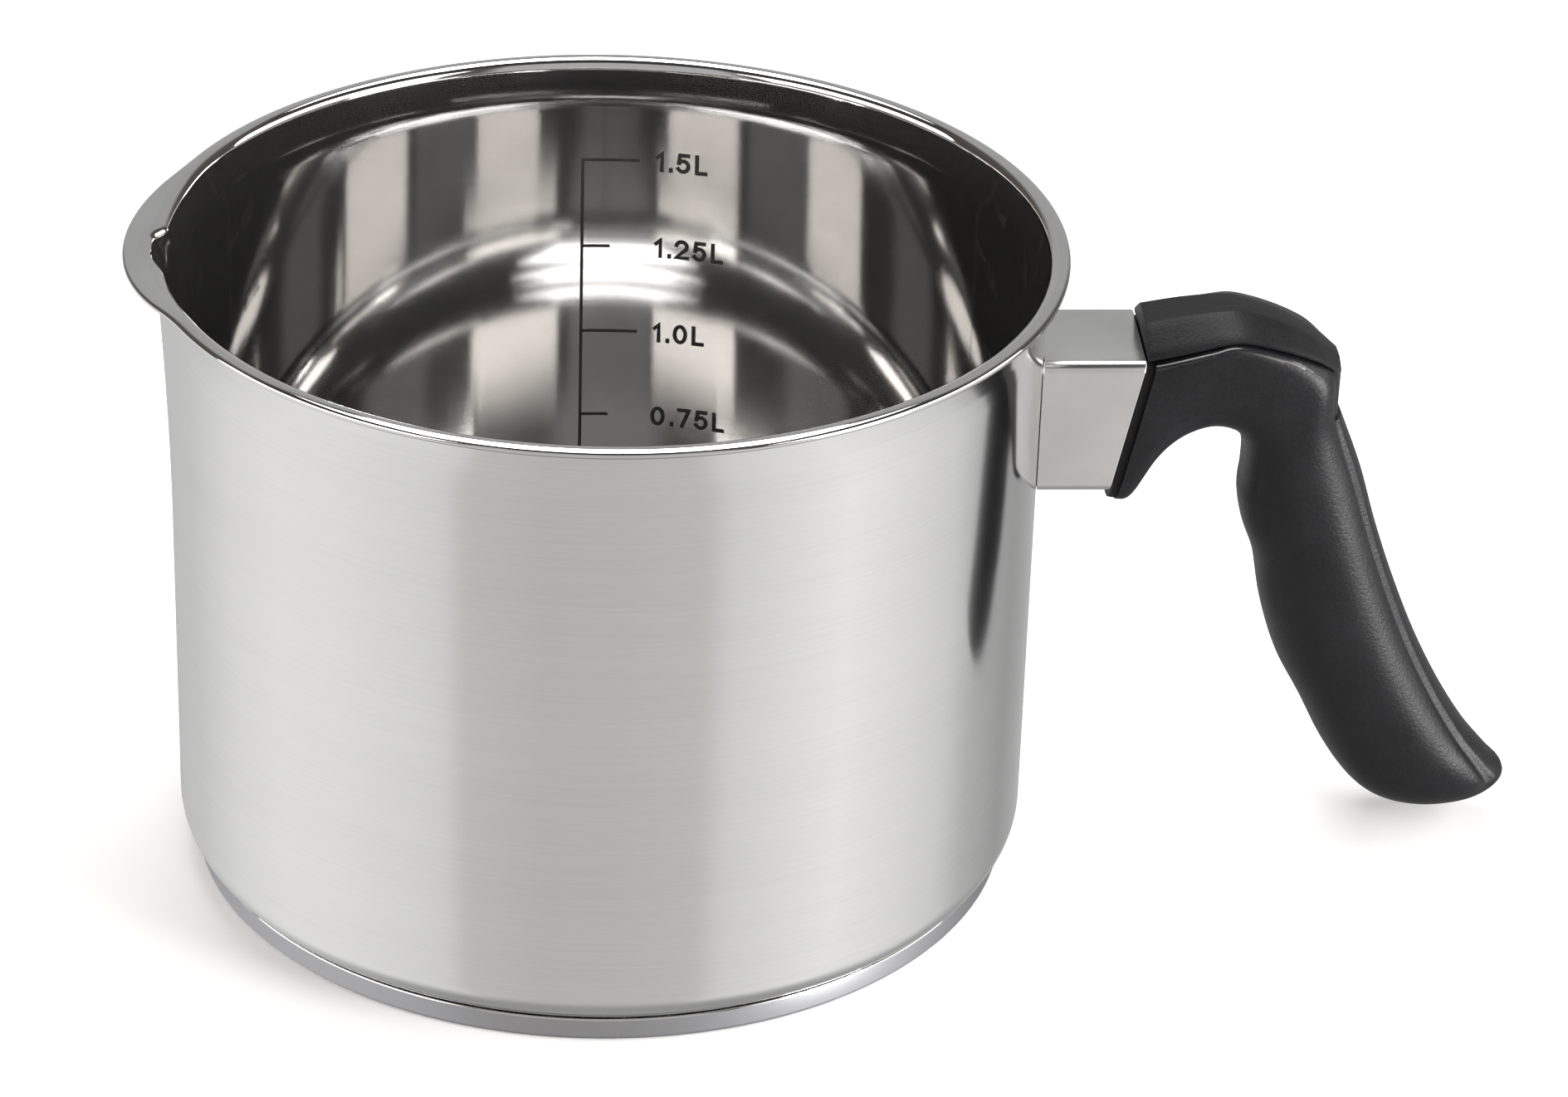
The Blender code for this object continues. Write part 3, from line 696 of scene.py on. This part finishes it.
def make_base(finishes):
    """The pressed cap that holds the core under the pot's floor."""
    ring_finish, edge_finish, base_finish = range(3)
    core_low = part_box("base_core")[0].z
    inside_radius = CAP_RADIUS - CAP_SHEET
    foot = CAP_RADIUS - CAP_CORNER - FOOT_WIDTH
    underside = [(foot * share, BASE_DISH) for share in DISH_SHARES]
    underside += [(foot * 0.985, BASE_DISH * 0.7), (foot, BASE_DISH * 0.15), (foot + FOOT_BLEND, 0)]
    corner = arc((CAP_RADIUS - CAP_CORNER, CAP_CORNER), CAP_CORNER, -90, 0, 9)
    edge = arc((CAP_RADIUS - CAP_EDGE, CAP_HEIGHT - CAP_EDGE), CAP_EDGE, 0, 180, 9)
    upper_face = core_low - CORE_OVERLAP
    hidden = [(inside_radius, core_low + INNER_CHAMFER), (inside_radius - INNER_CHAMFER, upper_face)]
    rows = [(r, z, base_finish) for r, z in underside]
    rows += [(r, z, ring_finish) for r, z in corner]
    rows += [(r, z, edge_finish) for r, z in edge]
    rows += [(r, z, base_finish) for r, z in hidden]
    rings = turned_rings([row[:2] for row in rows], BASE_STEPS)
    mesh = ring_mesh("capsule_base", rings, first_pole=(0, 0, BASE_DISH), last_pole=(0, 0, upper_face),
                     slots=[row[2] for row in rows])
    base = add_piece("capsule_base", mesh, [finishes[key] for key in ("ring", "lip", "base")])
    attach(base, "root")
    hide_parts("base_cap")


# Ferrule

def rounded_outline(half_width, low, high, radius, count=9):
    """Points (y, z) round a rectangle with rounded corners."""
    points = []
    for side, level, first in ((1, 1, 0), (-1, 1, 90), (-1, 0, 180), (1, 0, 270)):
        centre = (side * (half_width - radius), high - radius if level else low + radius)
        points += arc(centre, radius, first, first + 90, count)
    return points


def sleeve_end(height):
    """x of the sleeve's slanted end at a height."""
    share = (height - SLEEVE_LOW.z) / (SLEEVE_HIGH.z - SLEEVE_LOW.z)
    return SLEEVE_HIGH.x - SLEEVE_SLANT * (1 - share)


def make_sleeve(finishes):
    """A rounded box sleeve: its inner end is scribed to the wall, its outer end is slanted."""
    def outline(inset):
        return rounded_outline(SLEEVE_HALF_WIDTH - inset, SLEEVE_LOW.z + inset, SLEEVE_HIGH.z - inset,
                               max(SLEEVE_INNER_CORNER, SLEEVE_CORNER - inset))

    def at_wall(point, setback):
        return math.sqrt((WALL_RADIUS + WALL_JOINT) ** 2 - point[0] ** 2) + setback

    def ring(inset, setback, wall):
        return [Vector(((at_wall(p, setback) if wall else sleeve_end(p[1]) - setback), *p))
                for p in outline(inset)]

    turns = [(SLEEVE_EDGE * (1 - math.sin(a)), SLEEVE_EDGE * (1 - math.cos(a)))
             for a in (math.radians(15 * i) for i in range(7))]
    rings = [ring(SLEEVE_SHEET, 0.0, True)] + [ring(inset, setback, True) for inset, setback in turns]
    rings += [ring(inset, setback, False) for inset, setback in reversed(turns)]
    rings.append(ring(SLEEVE_SHEET, 0.0, False))
    mesh = ring_mesh("handle_sleeve", rings, close_rows=True)
    sleeve = add_piece("handle_sleeve", mesh, [finishes["sleeve"]], sharp=35)
    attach(sleeve, "root")
    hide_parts("handle_ferrule")


# Handle

COVER_TAB_BOTTOM = 78.6 * MM
RECESS_DEPTH_X = 117.7 * MM  # x of the recess for the cover's tab
RECESS_HALF_WIDTH = 6.1 * MM
BEHIND_HANDLE = 130 * MM  # x and z that are clear of the handle's arm
ABOVE_HANDLE = 100 * MM
PEG_PLACES = ((94.5 * MM, 92.2 * MM), (103.5 * MM, 93.6 * MM))  # x, and z of the cover's underside
PEG_RADIUS = 1.5 * MM
PEG_LENGTH = 3.4 * MM
PEG_BURIED = 2 * MM  # in the cover
PEG_STEPS = 24
SOCKET_RADIUS = 1.8 * MM
SOCKET_DEPTH = 3.7 * MM
HOLE_RADIUS = 2.8 * MM  # for the screw
HOLE_START = 70 * MM  # x, inside the ferrule
POCKET_RADIUS = 5.3 * MM  # for the screw's head
NECK_LENGTH = 6.4 * MM
NECK_SQUARENESS = 9.0
NECK_CHAMFER = 0.3 * MM  # across its end
NECK_CHAMFER_LENGTH = 0.4 * MM
SHOULDER_END = 114.0 * MM  # the shoulder under the cover gets the glossier finish with a painted highlight up to here
SHOULDER_INSIDE = 9.2 * MM  # from this half width out
SHOULDER_DEPTH = 6 * MM  # down to this depth under the ferrule's top
SHOULDER_SLOPE = (0.5, 0.99)  # upward share of its faces' normals
FACE_GAP = 0.35 * MM
FACE_DROP = 0.1 * MM  # of the face's top under the ferrule's
FACE_HANG = 2.2 * MM  # of its bottom under the ferrule's
GROOVE_FALL = 0.2 * MM  # of its bottom across the shadow line
GROOVE_WIDTH = 1.2 * MM  # of the shadow line between ferrule and handle
GROOVE_DEPTH = 0.9 * MM
RIB_HALF_WIDTH = 6.0 * MM
RIB_HEIGHT = 0.45 * MM
RIB_GROOVE = 0.55 * MM  # depth of the groove on each side of the rib
RIB_GROOVE_WIDTH = 0.75 * MM
RIB_FLANK = (-1.4, 0.2)  # where the rib's side falls, and where the surface beyond is
RIB_FADE = 1.9  # level again, in groove widths from the groove's middle
GROOVE_INWARD = 0.75  # how much the groove cuts in and to the side
GROOVE_SIDEWAYS = 0.5
RIB_START = (7.2, 8.6)  # where the rib rises and fades, in sections from the face
RIB_END = (16.6, 17.6)
ROWS_PER_SECTION = 6
TIP_PUSH = Vector((0.3, 0, -0.45)) * MM  # of the tip's pole past the last section
TIP_RINGS = ((0.8, 0.45), (0.5, 0.8))  # size of each ring and its share of the push
GRIP_SHARP_ANGLE = 32  # degrees

# Sections of the handle from its face to its tip, in millimetres. Each is a line across the XZ
# plane, from the upper or outer side to the lower or inner side, with its half width and how square
# it is on the outer and on the inner half: 2 is an ellipse, higher is closer to a rectangle.
HANDLE_SECTIONS = [
    # outer x, z   inner x, z   half width, squareness outer, inner
    (88.5, 90.8, 83.1, 65.2, 10.9, 14.0, 7.0),
    (90.0, 91.1, 85.7, 65.2, 10.9, 14.0, 4.6),
    (93.5, 92.0, 89.4, 71.4, 10.9, 14.0, 3.6),
    (97.5, 93.0, 93.4, 75.3, 10.8, 14.0, 3.2),
    (102.0, 93.9, 98.4, 76.9, 10.6, 14.0, 2.8),
    (109.5, 92.0, 102.6, 75.9, 10.4, 10.0, 2.6),
    (114.9, 89.9, 104.6, 73.2, 10.2, 6.0, 2.5),
    (118.6, 86.9, 105.2, 70.0, 10.2, 4.0, 2.4),
    (119.7, 80.8, 105.2, 66.2, 10.2, 3.0, 2.4),
    (121.9, 75.3, 104.9, 62.4, 10.3, 2.5, 2.3),
    (125.1, 67.2, 105.9, 57.4, 10.4, 2.3, 2.3),
    (128.4, 56.8, 108.2, 51.2, 10.6, 2.3, 2.3),
    (132.3, 46.2, 110.1, 42.0, 10.8, 2.3, 2.3),
    (136.8, 35.6, 113.1, 33.0, 10.8, 2.3, 2.3),
    (141.8, 25.9, 117.7, 24.4, 10.6, 2.3, 2.3),
    (147.0, 17.7, 121.9, 16.2, 10.2, 2.3, 2.3),
    (151.6, 12.2, 126.3, 9.7, 9.4, 2.3, 2.3),
    (154.4, 9.0, 130.6, 5.6, 8.0, 2.3, 2.3),
    (152.4, 5.8, 135.4, 3.6, 5.8, 2.2, 2.2),
    (148.6, 3.9, 140.4, 3.1, 2.8, 2.0, 2.0),
]

# Directions round a section as (first, last, step) in degrees, closest where the rib's grooves run
SECTION_BANDS = [(0, 42, 4), (42, 72, 1.2), (72, 108, 4), (108, 138, 1.2), (138, 360, 4.2)]


def section_turns():
    turns = []
    for start, end, step in SECTION_BANDS:
        count = round((end - start) / step)
        turns += [math.radians(lerp(start, end, i / count)) for i in range(count)]
    return turns


def section_ring(section, rib=0.0):
    """Points round one section. The rib stands up along the middle of the outer side."""
    outer = Vector((section[0], 0, section[1])) * MM
    inner = Vector((section[2], 0, section[3])) * MM
    half_width, outer_square, inner_square = section[4] * MM, section[5], section[6]
    centre = (outer + inner) / 2
    reach = (outer - inner) / 2
    outward = reach.normalized()
    points = []
    for turn in section_turns():
        square = outer_square if math.sin(turn) > 0 else inner_square
        across = math.copysign(abs(math.cos(turn)) ** (2 / square), math.cos(turn))
        along = math.copysign(abs(math.sin(turn)) ** (2 / square), math.sin(turn))
        point = centre + reach * along + Vector((0, half_width * across, 0))
        if rib > 0 and math.sin(turn) > 0:
            beside = (abs(point.y) - RIB_HALF_WIDTH) / RIB_GROOVE_WIDTH
            groove = RIB_GROOVE * math.exp(-beside * beside)
            raised = RIB_HEIGHT * (1 - smoothstep(*RIB_FLANK, beside))
            sideways = Vector((0, math.copysign(GROOVE_SIDEWAYS, point.y), 0))
            point -= (outward * GROOVE_INWARD + sideways) * groove * rib
            point -= outward * (RIB_HEIGHT - raised) * rib * smoothstep(RIB_FADE, 0.0, beside)
        points.append(point)
    return points


def neck_rings():
    """The neck inside the ferrule and the shadow line in front of the handle's face."""
    margin = SLEEVE_SHEET + GAP
    top = SLEEVE_HIGH.z - margin
    bottom = SLEEVE_LOW.z + margin

    def ring(back, low, high, half_width):
        outer = ((sleeve_end(high) - back) / MM, high / MM)
        inner = ((sleeve_end(low) - back) / MM, low / MM)
        return section_ring((*outer, *inner, half_width / MM, NECK_SQUARENESS, NECK_SQUARENESS))

    inside = SLEEVE_HALF_WIDTH - margin
    face_width = SLEEVE_HALF_WIDTH - GROOVE_DEPTH
    face_top = SLEEVE_HIGH.z - FACE_DROP
    face_low = SLEEVE_LOW.z - FACE_HANG
    return [ring(NECK_LENGTH, bottom, top, inside - NECK_CHAMFER),
            ring(NECK_LENGTH - NECK_CHAMFER_LENGTH, bottom, top, inside),
            ring(-FACE_GAP, bottom, top, inside),
            ring(-FACE_GAP, face_low, face_top, face_width),
            ring(-FACE_GAP - GROOVE_WIDTH, face_low - GROOVE_FALL, face_top, face_width)]


def tip_rings(last):
    """Rings that round off the handle's tip, and its pole."""
    middle = sum(last, Vector()) / len(last)
    rings = []
    for size, out in TIP_RINGS:
        rings.append([middle + (point - middle) * size + TIP_PUSH * out for point in last])
    return rings, middle + TIP_PUSH


def grip_tools():
    """Cutters for the screw's hole and pocket, the tab's recess and the pegs' sockets."""
    screw_low, screw_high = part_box("handle_screw")
    height = (screw_low.z + screw_high.z) / 2
    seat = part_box("flat_washer")[0].x - GAP
    recess_low = Vector((RECESS_DEPTH_X, -RECESS_HALF_WIDTH, COVER_TAB_BOTTOM - GAP))
    recess_high = Vector((BEHIND_HANDLE, RECESS_HALF_WIDTH, ABOVE_HANDLE))
    tools = [cylinder("hole", HOLE_RADIUS, Vector((HOLE_START, 0, height)), Vector((seat + MM, 0, height))),
             cylinder("pocket", POCKET_RADIUS, Vector((seat, 0, height)),
                      Vector((BEHIND_HANDLE, 0, height))),
             block("recess", recess_low, recess_high)]
    for x, root in PEG_PLACES:
        bottom = Vector((x, 0, root - SOCKET_DEPTH))
        tools.append(cylinder("socket", SOCKET_RADIUS, bottom, Vector((x, 0, ABOVE_HANDLE)), PEG_STEPS))
    return tools


def paint_shoulder_highlight(mesh):
    """Gives the glossier finish, whose lighter colour is a painted highlight, to the upward-facing faces of
    the shoulder beside the cover.
    """
    for face in mesh.polygons:
        place = face.center
        beside = abs(place.y) > SHOULDER_INSIDE and place.z > SLEEVE_HIGH.z - SHOULDER_DEPTH
        sloped = SHOULDER_SLOPE[0] < face.normal.z < SHOULDER_SLOPE[1]
        if beside and sloped and SLEEVE_HIGH.x + MM < place.x < SHOULDER_END:
            # faces that face up get the lighter colour, a painted highlight
            face.material_index = 1


def make_grip(finishes):
    rings = neck_rings()
    for number, row in enumerate(spline_rows(HANDLE_SECTIONS, ROWS_PER_SECTION)):
        place = number / ROWS_PER_SECTION
        rib = smoothstep(*RIB_START, place) * (1 - smoothstep(*RIB_END, place))
        rings.append(section_ring(row, rib))
    rounded, pole = tip_rings(rings[-1])
    start = sum(rings[0], Vector()) / len(rings[0])
    mesh = ring_mesh("handle_grip_fine", rings + rounded, first_pole=start, last_pole=pole)
    grip = add_piece("handle_grip_fine", mesh, [finishes["grip"], finishes["glossy_painted_highlight"]])
    combine(grip, grip_tools())
    paint_shoulder_highlight(grip.data)
    grip.data.shade_smooth()
    grip.data.set_sharp_from_angle(angle=math.radians(GRIP_SHARP_ANGLE))
    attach(grip, "root")
    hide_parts("handle_grip")


# Cover

COVER_CROWN = 0.06 * MM  # how much the cover's flat faces swell
COVER_EDGE = 0.18 * MM  # width of the bevel on its edges
COVER_BEVEL_ANGLE = 18  # degrees
COVER_SHARP_ANGLE = 30
ROOF_ROWS_PER_SECTION = 5

# Sections of the cover's roof across X, in millimetres, from its front end to its rear end: a narrow
# flat ridge, a slope down to each edge, and an underside.
ROOF_SECTIONS = [
    # x, ridge half width, ridge z, edge half width, edge z, underside half width, underside z
    (87.1, 3.9, 95.2, 9.5, 91.5, 9.4, 91.0),
    (93.5, 3.7, 96.4, 9.5, 92.9, 9.4, 92.35),
    (99.6, 3.4, 97.1, 9.4, 94.3, 9.3, 93.8),
    (103.4, 3.2, 96.8, 9.3, 94.5, 9.2, 94.0),
    (109.5, 2.9, 94.8, 8.9, 92.9, 8.8, 92.4),
    (114.9, 2.5, 91.9, 8.0, 90.6, 7.9, 90.2),
    (118.0, 2.2, 89.6, 6.3, 88.3, 6.2, 87.9),
    (119.7, 1.9, 88.2, 4.4, 87.0, 4.3, 86.6),
]

# Sections of the rear tab across X
TAB_SECTIONS = [
    # x, half width, top z
    (118.0, 5.8, 88.2),
    (119.1, 5.3, 87.7),
    (119.7, 4.1, 87.0),
]


def roof_ring(section):
    """Points round one section of the roof."""
    x, ridge, ridge_z, edge, edge_z, under, under_z = (value * MM for value in section)
    right = [(0, ridge_z + COVER_CROWN), (ridge * 0.6, ridge_z + COVER_CROWN * 0.7), (ridge, ridge_z)]
    right += [(lerp(ridge, edge, t), lerp(ridge_z, edge_z, t) + COVER_CROWN * math.sin(math.pi * t))
              for t in (0.25, 0.5, 0.75)]
    right += [(edge, edge_z), (under, under_z), (under * 0.5, under_z)]
    left = [(-y, z) for y, z in reversed(right[1:])]
    return [Vector((x, y, z)) for y, z in right + [(0, under_z)] + left]


def tab_ring(section):
    """Corners of one section of the tab."""
    x, half_width, top = (value * MM for value in section)
    corners = ((half_width, top), (half_width, COVER_TAB_BOTTOM), (-half_width, COVER_TAB_BOTTOM),
               (-half_width, top))
    return [Vector((x, y, z)) for y, z in corners]


def capped_loft(name, rings):
    """A skin through rings of points, with a flat face over each end."""
    bm = bmesh.new()
    tube(bm, [[bm.verts.new(point) for point in ring] for ring in rings])
    bmesh.ops.recalc_face_normals(bm, faces=bm.faces)
    return mesh_from(bm, name)


def make_cover(finishes):
    rows = spline_rows(ROOF_SECTIONS, ROOF_ROWS_PER_SECTION)
    roof = capped_loft("handle_cover_fine", [roof_ring(row) for row in rows])
    cover = add_piece("handle_cover_fine", roof, [finishes["cover"]])
    tab = capped_loft("tab", [tab_ring(section) for section in TAB_SECTIONS])
    pegs = []
    for x, root in PEG_PLACES:
        end = Vector((x, 0, root - PEG_LENGTH))
        pegs.append(cylinder("peg", PEG_RADIUS, end, Vector((x, 0, root + PEG_BURIED)), PEG_STEPS))
    combine(cover, [tab] + pegs, "UNION")
    edge = cover.modifiers.new("edge", "BEVEL")
    edge.width = COVER_EDGE
    edge.segments = 2
    edge.limit_method = "ANGLE"
    edge.angle_limit = math.radians(COVER_BEVEL_ANGLE)
    settle(cover)
    cover.data.shade_smooth()
    cover.data.set_sharp_from_angle(angle=math.radians(COVER_SHARP_ANGLE))
    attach(cover, "root")
    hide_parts("handle_cover")


# Camera, light and floor

CAMERA_PLACE = Vector((-0.0291, -0.7577, 0.4697))
CAMERA_YAW = math.radians(4.45)
CAMERA_PITCH = math.radians(28.81)
CAMERA_ROLL = 0.0333  # radians
CAMERA_LENS = 120.03
CAMERA_SIDE = math.atan2(CAMERA_PLACE.y, CAMERA_PLACE.x)
LIGHT_TARGET = Vector((0, 0, 0.06))
WARM = (1.0, 0.965, 0.925)
FLOOR_RADII = (0.4, 1.0, 2.0, 4.0)
FLOOR_STEPS = 96
FLOOR_DROP = 0.1 * MM  # under the pot

# Lamps as (name, direction, elevation, distance, width, height, radiance, tint). The direction is in
# degrees to the right of the camera's side.
LAMPS = [
    ("light_overhead", 180, 70, 1.25, 0.9, 0.7, 6.5, (1, 1, 1)),
    ("light_left", -72, 27, 1.3, 1.45, 0.7, 4.6, WARM),
    ("light_right", 80, 27, 1.3, 1.7, 0.7, 4.6, WARM),
    ("light_handle", 60, 4, 1.1, 0.45, 0.6, 30.0, (1, 1, 1)),
]


def make_camera():
    forward = Vector((math.sin(CAMERA_YAW) * math.cos(CAMERA_PITCH),
                      math.cos(CAMERA_YAW) * math.cos(CAMERA_PITCH), -math.sin(CAMERA_PITCH)))
    level = forward.cross(Vector((0, 0, 1))).normalized()
    upright = level.cross(forward)
    right = level * math.cos(CAMERA_ROLL) + upright * math.sin(CAMERA_ROLL)
    up = upright * math.cos(CAMERA_ROLL) - level * math.sin(CAMERA_ROLL)
    lens = bpy.data.cameras.new("camera")
    lens.lens = CAMERA_LENS
    lens.clip_start = 0.01
    lens.clip_end = 50
    camera = add_object("camera", lens)
    turn = Matrix((right, up, -forward)).transposed().to_4x4()
    camera.matrix_world = Matrix.Translation(CAMERA_PLACE) @ turn
    bpy.context.scene.camera = camera


def make_floor():
    """A pale studio floor."""
    rings = turned_rings([(radius, 0) for radius in FLOOR_RADII], FLOOR_STEPS)
    finish = Finish("studio_floor", (0.93, 0.93, 0.93), 0.85, 0.0, Specular_IOR_Level=0.1)
    mottle = finish.noise(finish.coordinates((6.0,) * 3), detail=4.0)
    finish.tint(mottle, (0.925, 0.925, 0.925), (0.935, 0.935, 0.935))
    finish.roughen(mottle, 0.8, 0.9)
    floor = add_piece("studio_floor", ring_mesh("studio_floor", rings, first_pole=(0, 0, 0)),
                      [finish.material])
    floor.location.z = -FLOOR_DROP
    floor.visible_glossy = False


def area_light(name, direction, elevation, distance, width, height, radiance, tint):
    """A soft light that faces the pot."""
    lamp = bpy.data.lights.new(name, "AREA")
    lamp.shape = "RECTANGLE"
    lamp.size = width
    lamp.size_y = height
    lamp.energy = radiance * math.pi * width * height
    lamp.color = tint
    azimuth = CAMERA_SIDE + math.radians(direction)
    tilt = math.radians(elevation)
    out = Vector((math.cos(azimuth) * math.cos(tilt), math.sin(azimuth) * math.cos(tilt), math.sin(tilt)))
    light = add_object(name, lamp)
    light.location = out * distance + LIGHT_TARGET
    light.rotation_mode = "QUATERNION"
    light.rotation_quaternion = out.to_track_quat("Z", "Y")
    light.visible_camera = False


def grey(level, warmth=0.0):
    return (level * (1 + warmth), level, level * (1 - warmth))


# What surrounds the pot below the horizon, as (degrees to the right of the camera's side, colour):
# white panels left and right with a warm grey gap between them at the camera.
LOW_RING = [
    (-180, grey(0.45)), (-159, grey(0.62)), (-139, grey(0.75)), (-115, grey(1.00)), (-95, grey(1.11)),
    (-75, grey(1.09)), (-50, grey(0.98)), (-42, grey(0.92)), (-36, grey(0.74, 0.03)),
    (-15, grey(0.67, 0.03)), (5, grey(0.68, 0.03)), (26, grey(0.73, 0.03)), (34, grey(0.92)),
    (49, grey(1.04)), (67, grey(1.17)), (88, grey(1.03)), (105, grey(0.88)), (118, grey(0.62)),
    (140, grey(0.42)), (165, grey(0.5)),
]
# The same at the height that the inside of the pot and its level faces mirror
HIGH_RING = [
    (-180, grey(0.5)), (-158, grey(0.48)), (-144, grey(0.12, 0.1)), (-104, grey(0.08, 0.1)),
    (-38, grey(0.12, 0.1)), (-30, grey(0.6)), (28, grey(0.6)), (34, grey(0.12, 0.1)),
    (104, grey(0.08, 0.1)), (144, grey(0.12, 0.1)), (158, grey(0.48)),
]
TOP_LEVEL = 0.06  # grey overhead and underneath
BOTTOM_LEVEL = 0.42
RINGS_BLEND = (-12, 8)  # elevations between which one part runs into the next
TOP_BLEND = (42, 50)
BOTTOM_BLEND = (-75, -46)


def colour_ring(tree, turn, stops):
    """A ramp of colours round the horizon."""
    ramp = add_node(tree, "ValToRGB", Fac=turn)
    elements = ramp.color_ramp.elements
    elements.remove(elements[-1])
    for number, (angle, colour) in enumerate(stops):
        place = angle / 360 + 0.5
        element = elements[0] if number == 0 else elements.new(place)
        element.position = place
        element.color = (*colour, 1.0)
    return ramp.outputs["Color"]


def make_surroundings():
    """The studio round the pot: panels at the sides, dim above them, grey below."""
    world = bpy.data.worlds.new("studio")
    world.use_nodes = True
    bpy.context.scene.world = world
    tree = world.node_tree
    place = add_node(tree, "TexCoord").outputs["Generated"]
    turned = add_node(tree, "Mapping", Rotation=(0, 0, -CAMERA_SIDE), Vector=place)
    split = add_node(tree, "SeparateXYZ", Vector=turned.outputs["Vector"])
    angle = calculate(tree, "ARCTAN2", split.outputs["Y"], split.outputs["X"])
    turn = add_node(tree, "MapRange", From_Min=-math.pi, From_Max=math.pi, Value=angle).outputs["Result"]

    def over(edges, below, above):
        """One colour under a pair of elevations, in degrees, and another over it."""
        low, high = (math.sin(math.radians(edge)) for edge in edges)
        mask = add_node(tree, "MapRange", From_Min=low, From_Max=high, Value=split.outputs["Z"])
        mask.interpolation_type = "SMOOTHSTEP"
        node = add_node(tree, "Mix", Factor=mask.outputs["Result"])
        node.data_type = "RGBA"
        feed(tree, node.inputs["A"], below)
        feed(tree, node.inputs["B"], above)
        return next(out for out in node.outputs if out.type == "RGBA")

    sides = over(RINGS_BLEND, colour_ring(tree, turn, LOW_RING), colour_ring(tree, turn, HIGH_RING))
    with_top = over(TOP_BLEND, sides, (*grey(TOP_LEVEL), 1.0))
    with_bottom = over(BOTTOM_BLEND, (*grey(BOTTOM_LEVEL), 1.0), with_top)
    background = tree.nodes["Background"]
    feed(tree, background.inputs["Color"], with_bottom)
    feed(tree, background.inputs["Strength"], 1.0)


def make_studio():
    make_camera()
    make_floor()
    make_surroundings()
    for lamp in LAMPS:
        area_light(*lamp)
    bpy.context.scene.view_settings.view_transform = "Standard"


# Pieces carried over from the CAD model

KEPT_NODES = {"base_core": "aluminium", "handle_lug": "zinc", "weld_nut": "zinc", "handle_screw": "zinc",
              "flat_washer": "zinc", "lock_washer": "zinc"}


def finish_cad_nodes(finishes):
    """Gives the hidden nodes, which are drawn as they are, their materials."""
    for name, key in KEPT_NODES.items():
        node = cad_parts[name]
        node.data.materials.clear()
        node.data.materials.append(finishes[key])


make_studio()
FINISHES = make_materials()
make_body(FINISHES)
make_litre_scale(FINISHES)
make_base(FINISHES)
make_sleeve(FINISHES)
make_grip(FINISHES)
make_cover(FINISHES)
finish_cad_nodes(FINISHES)
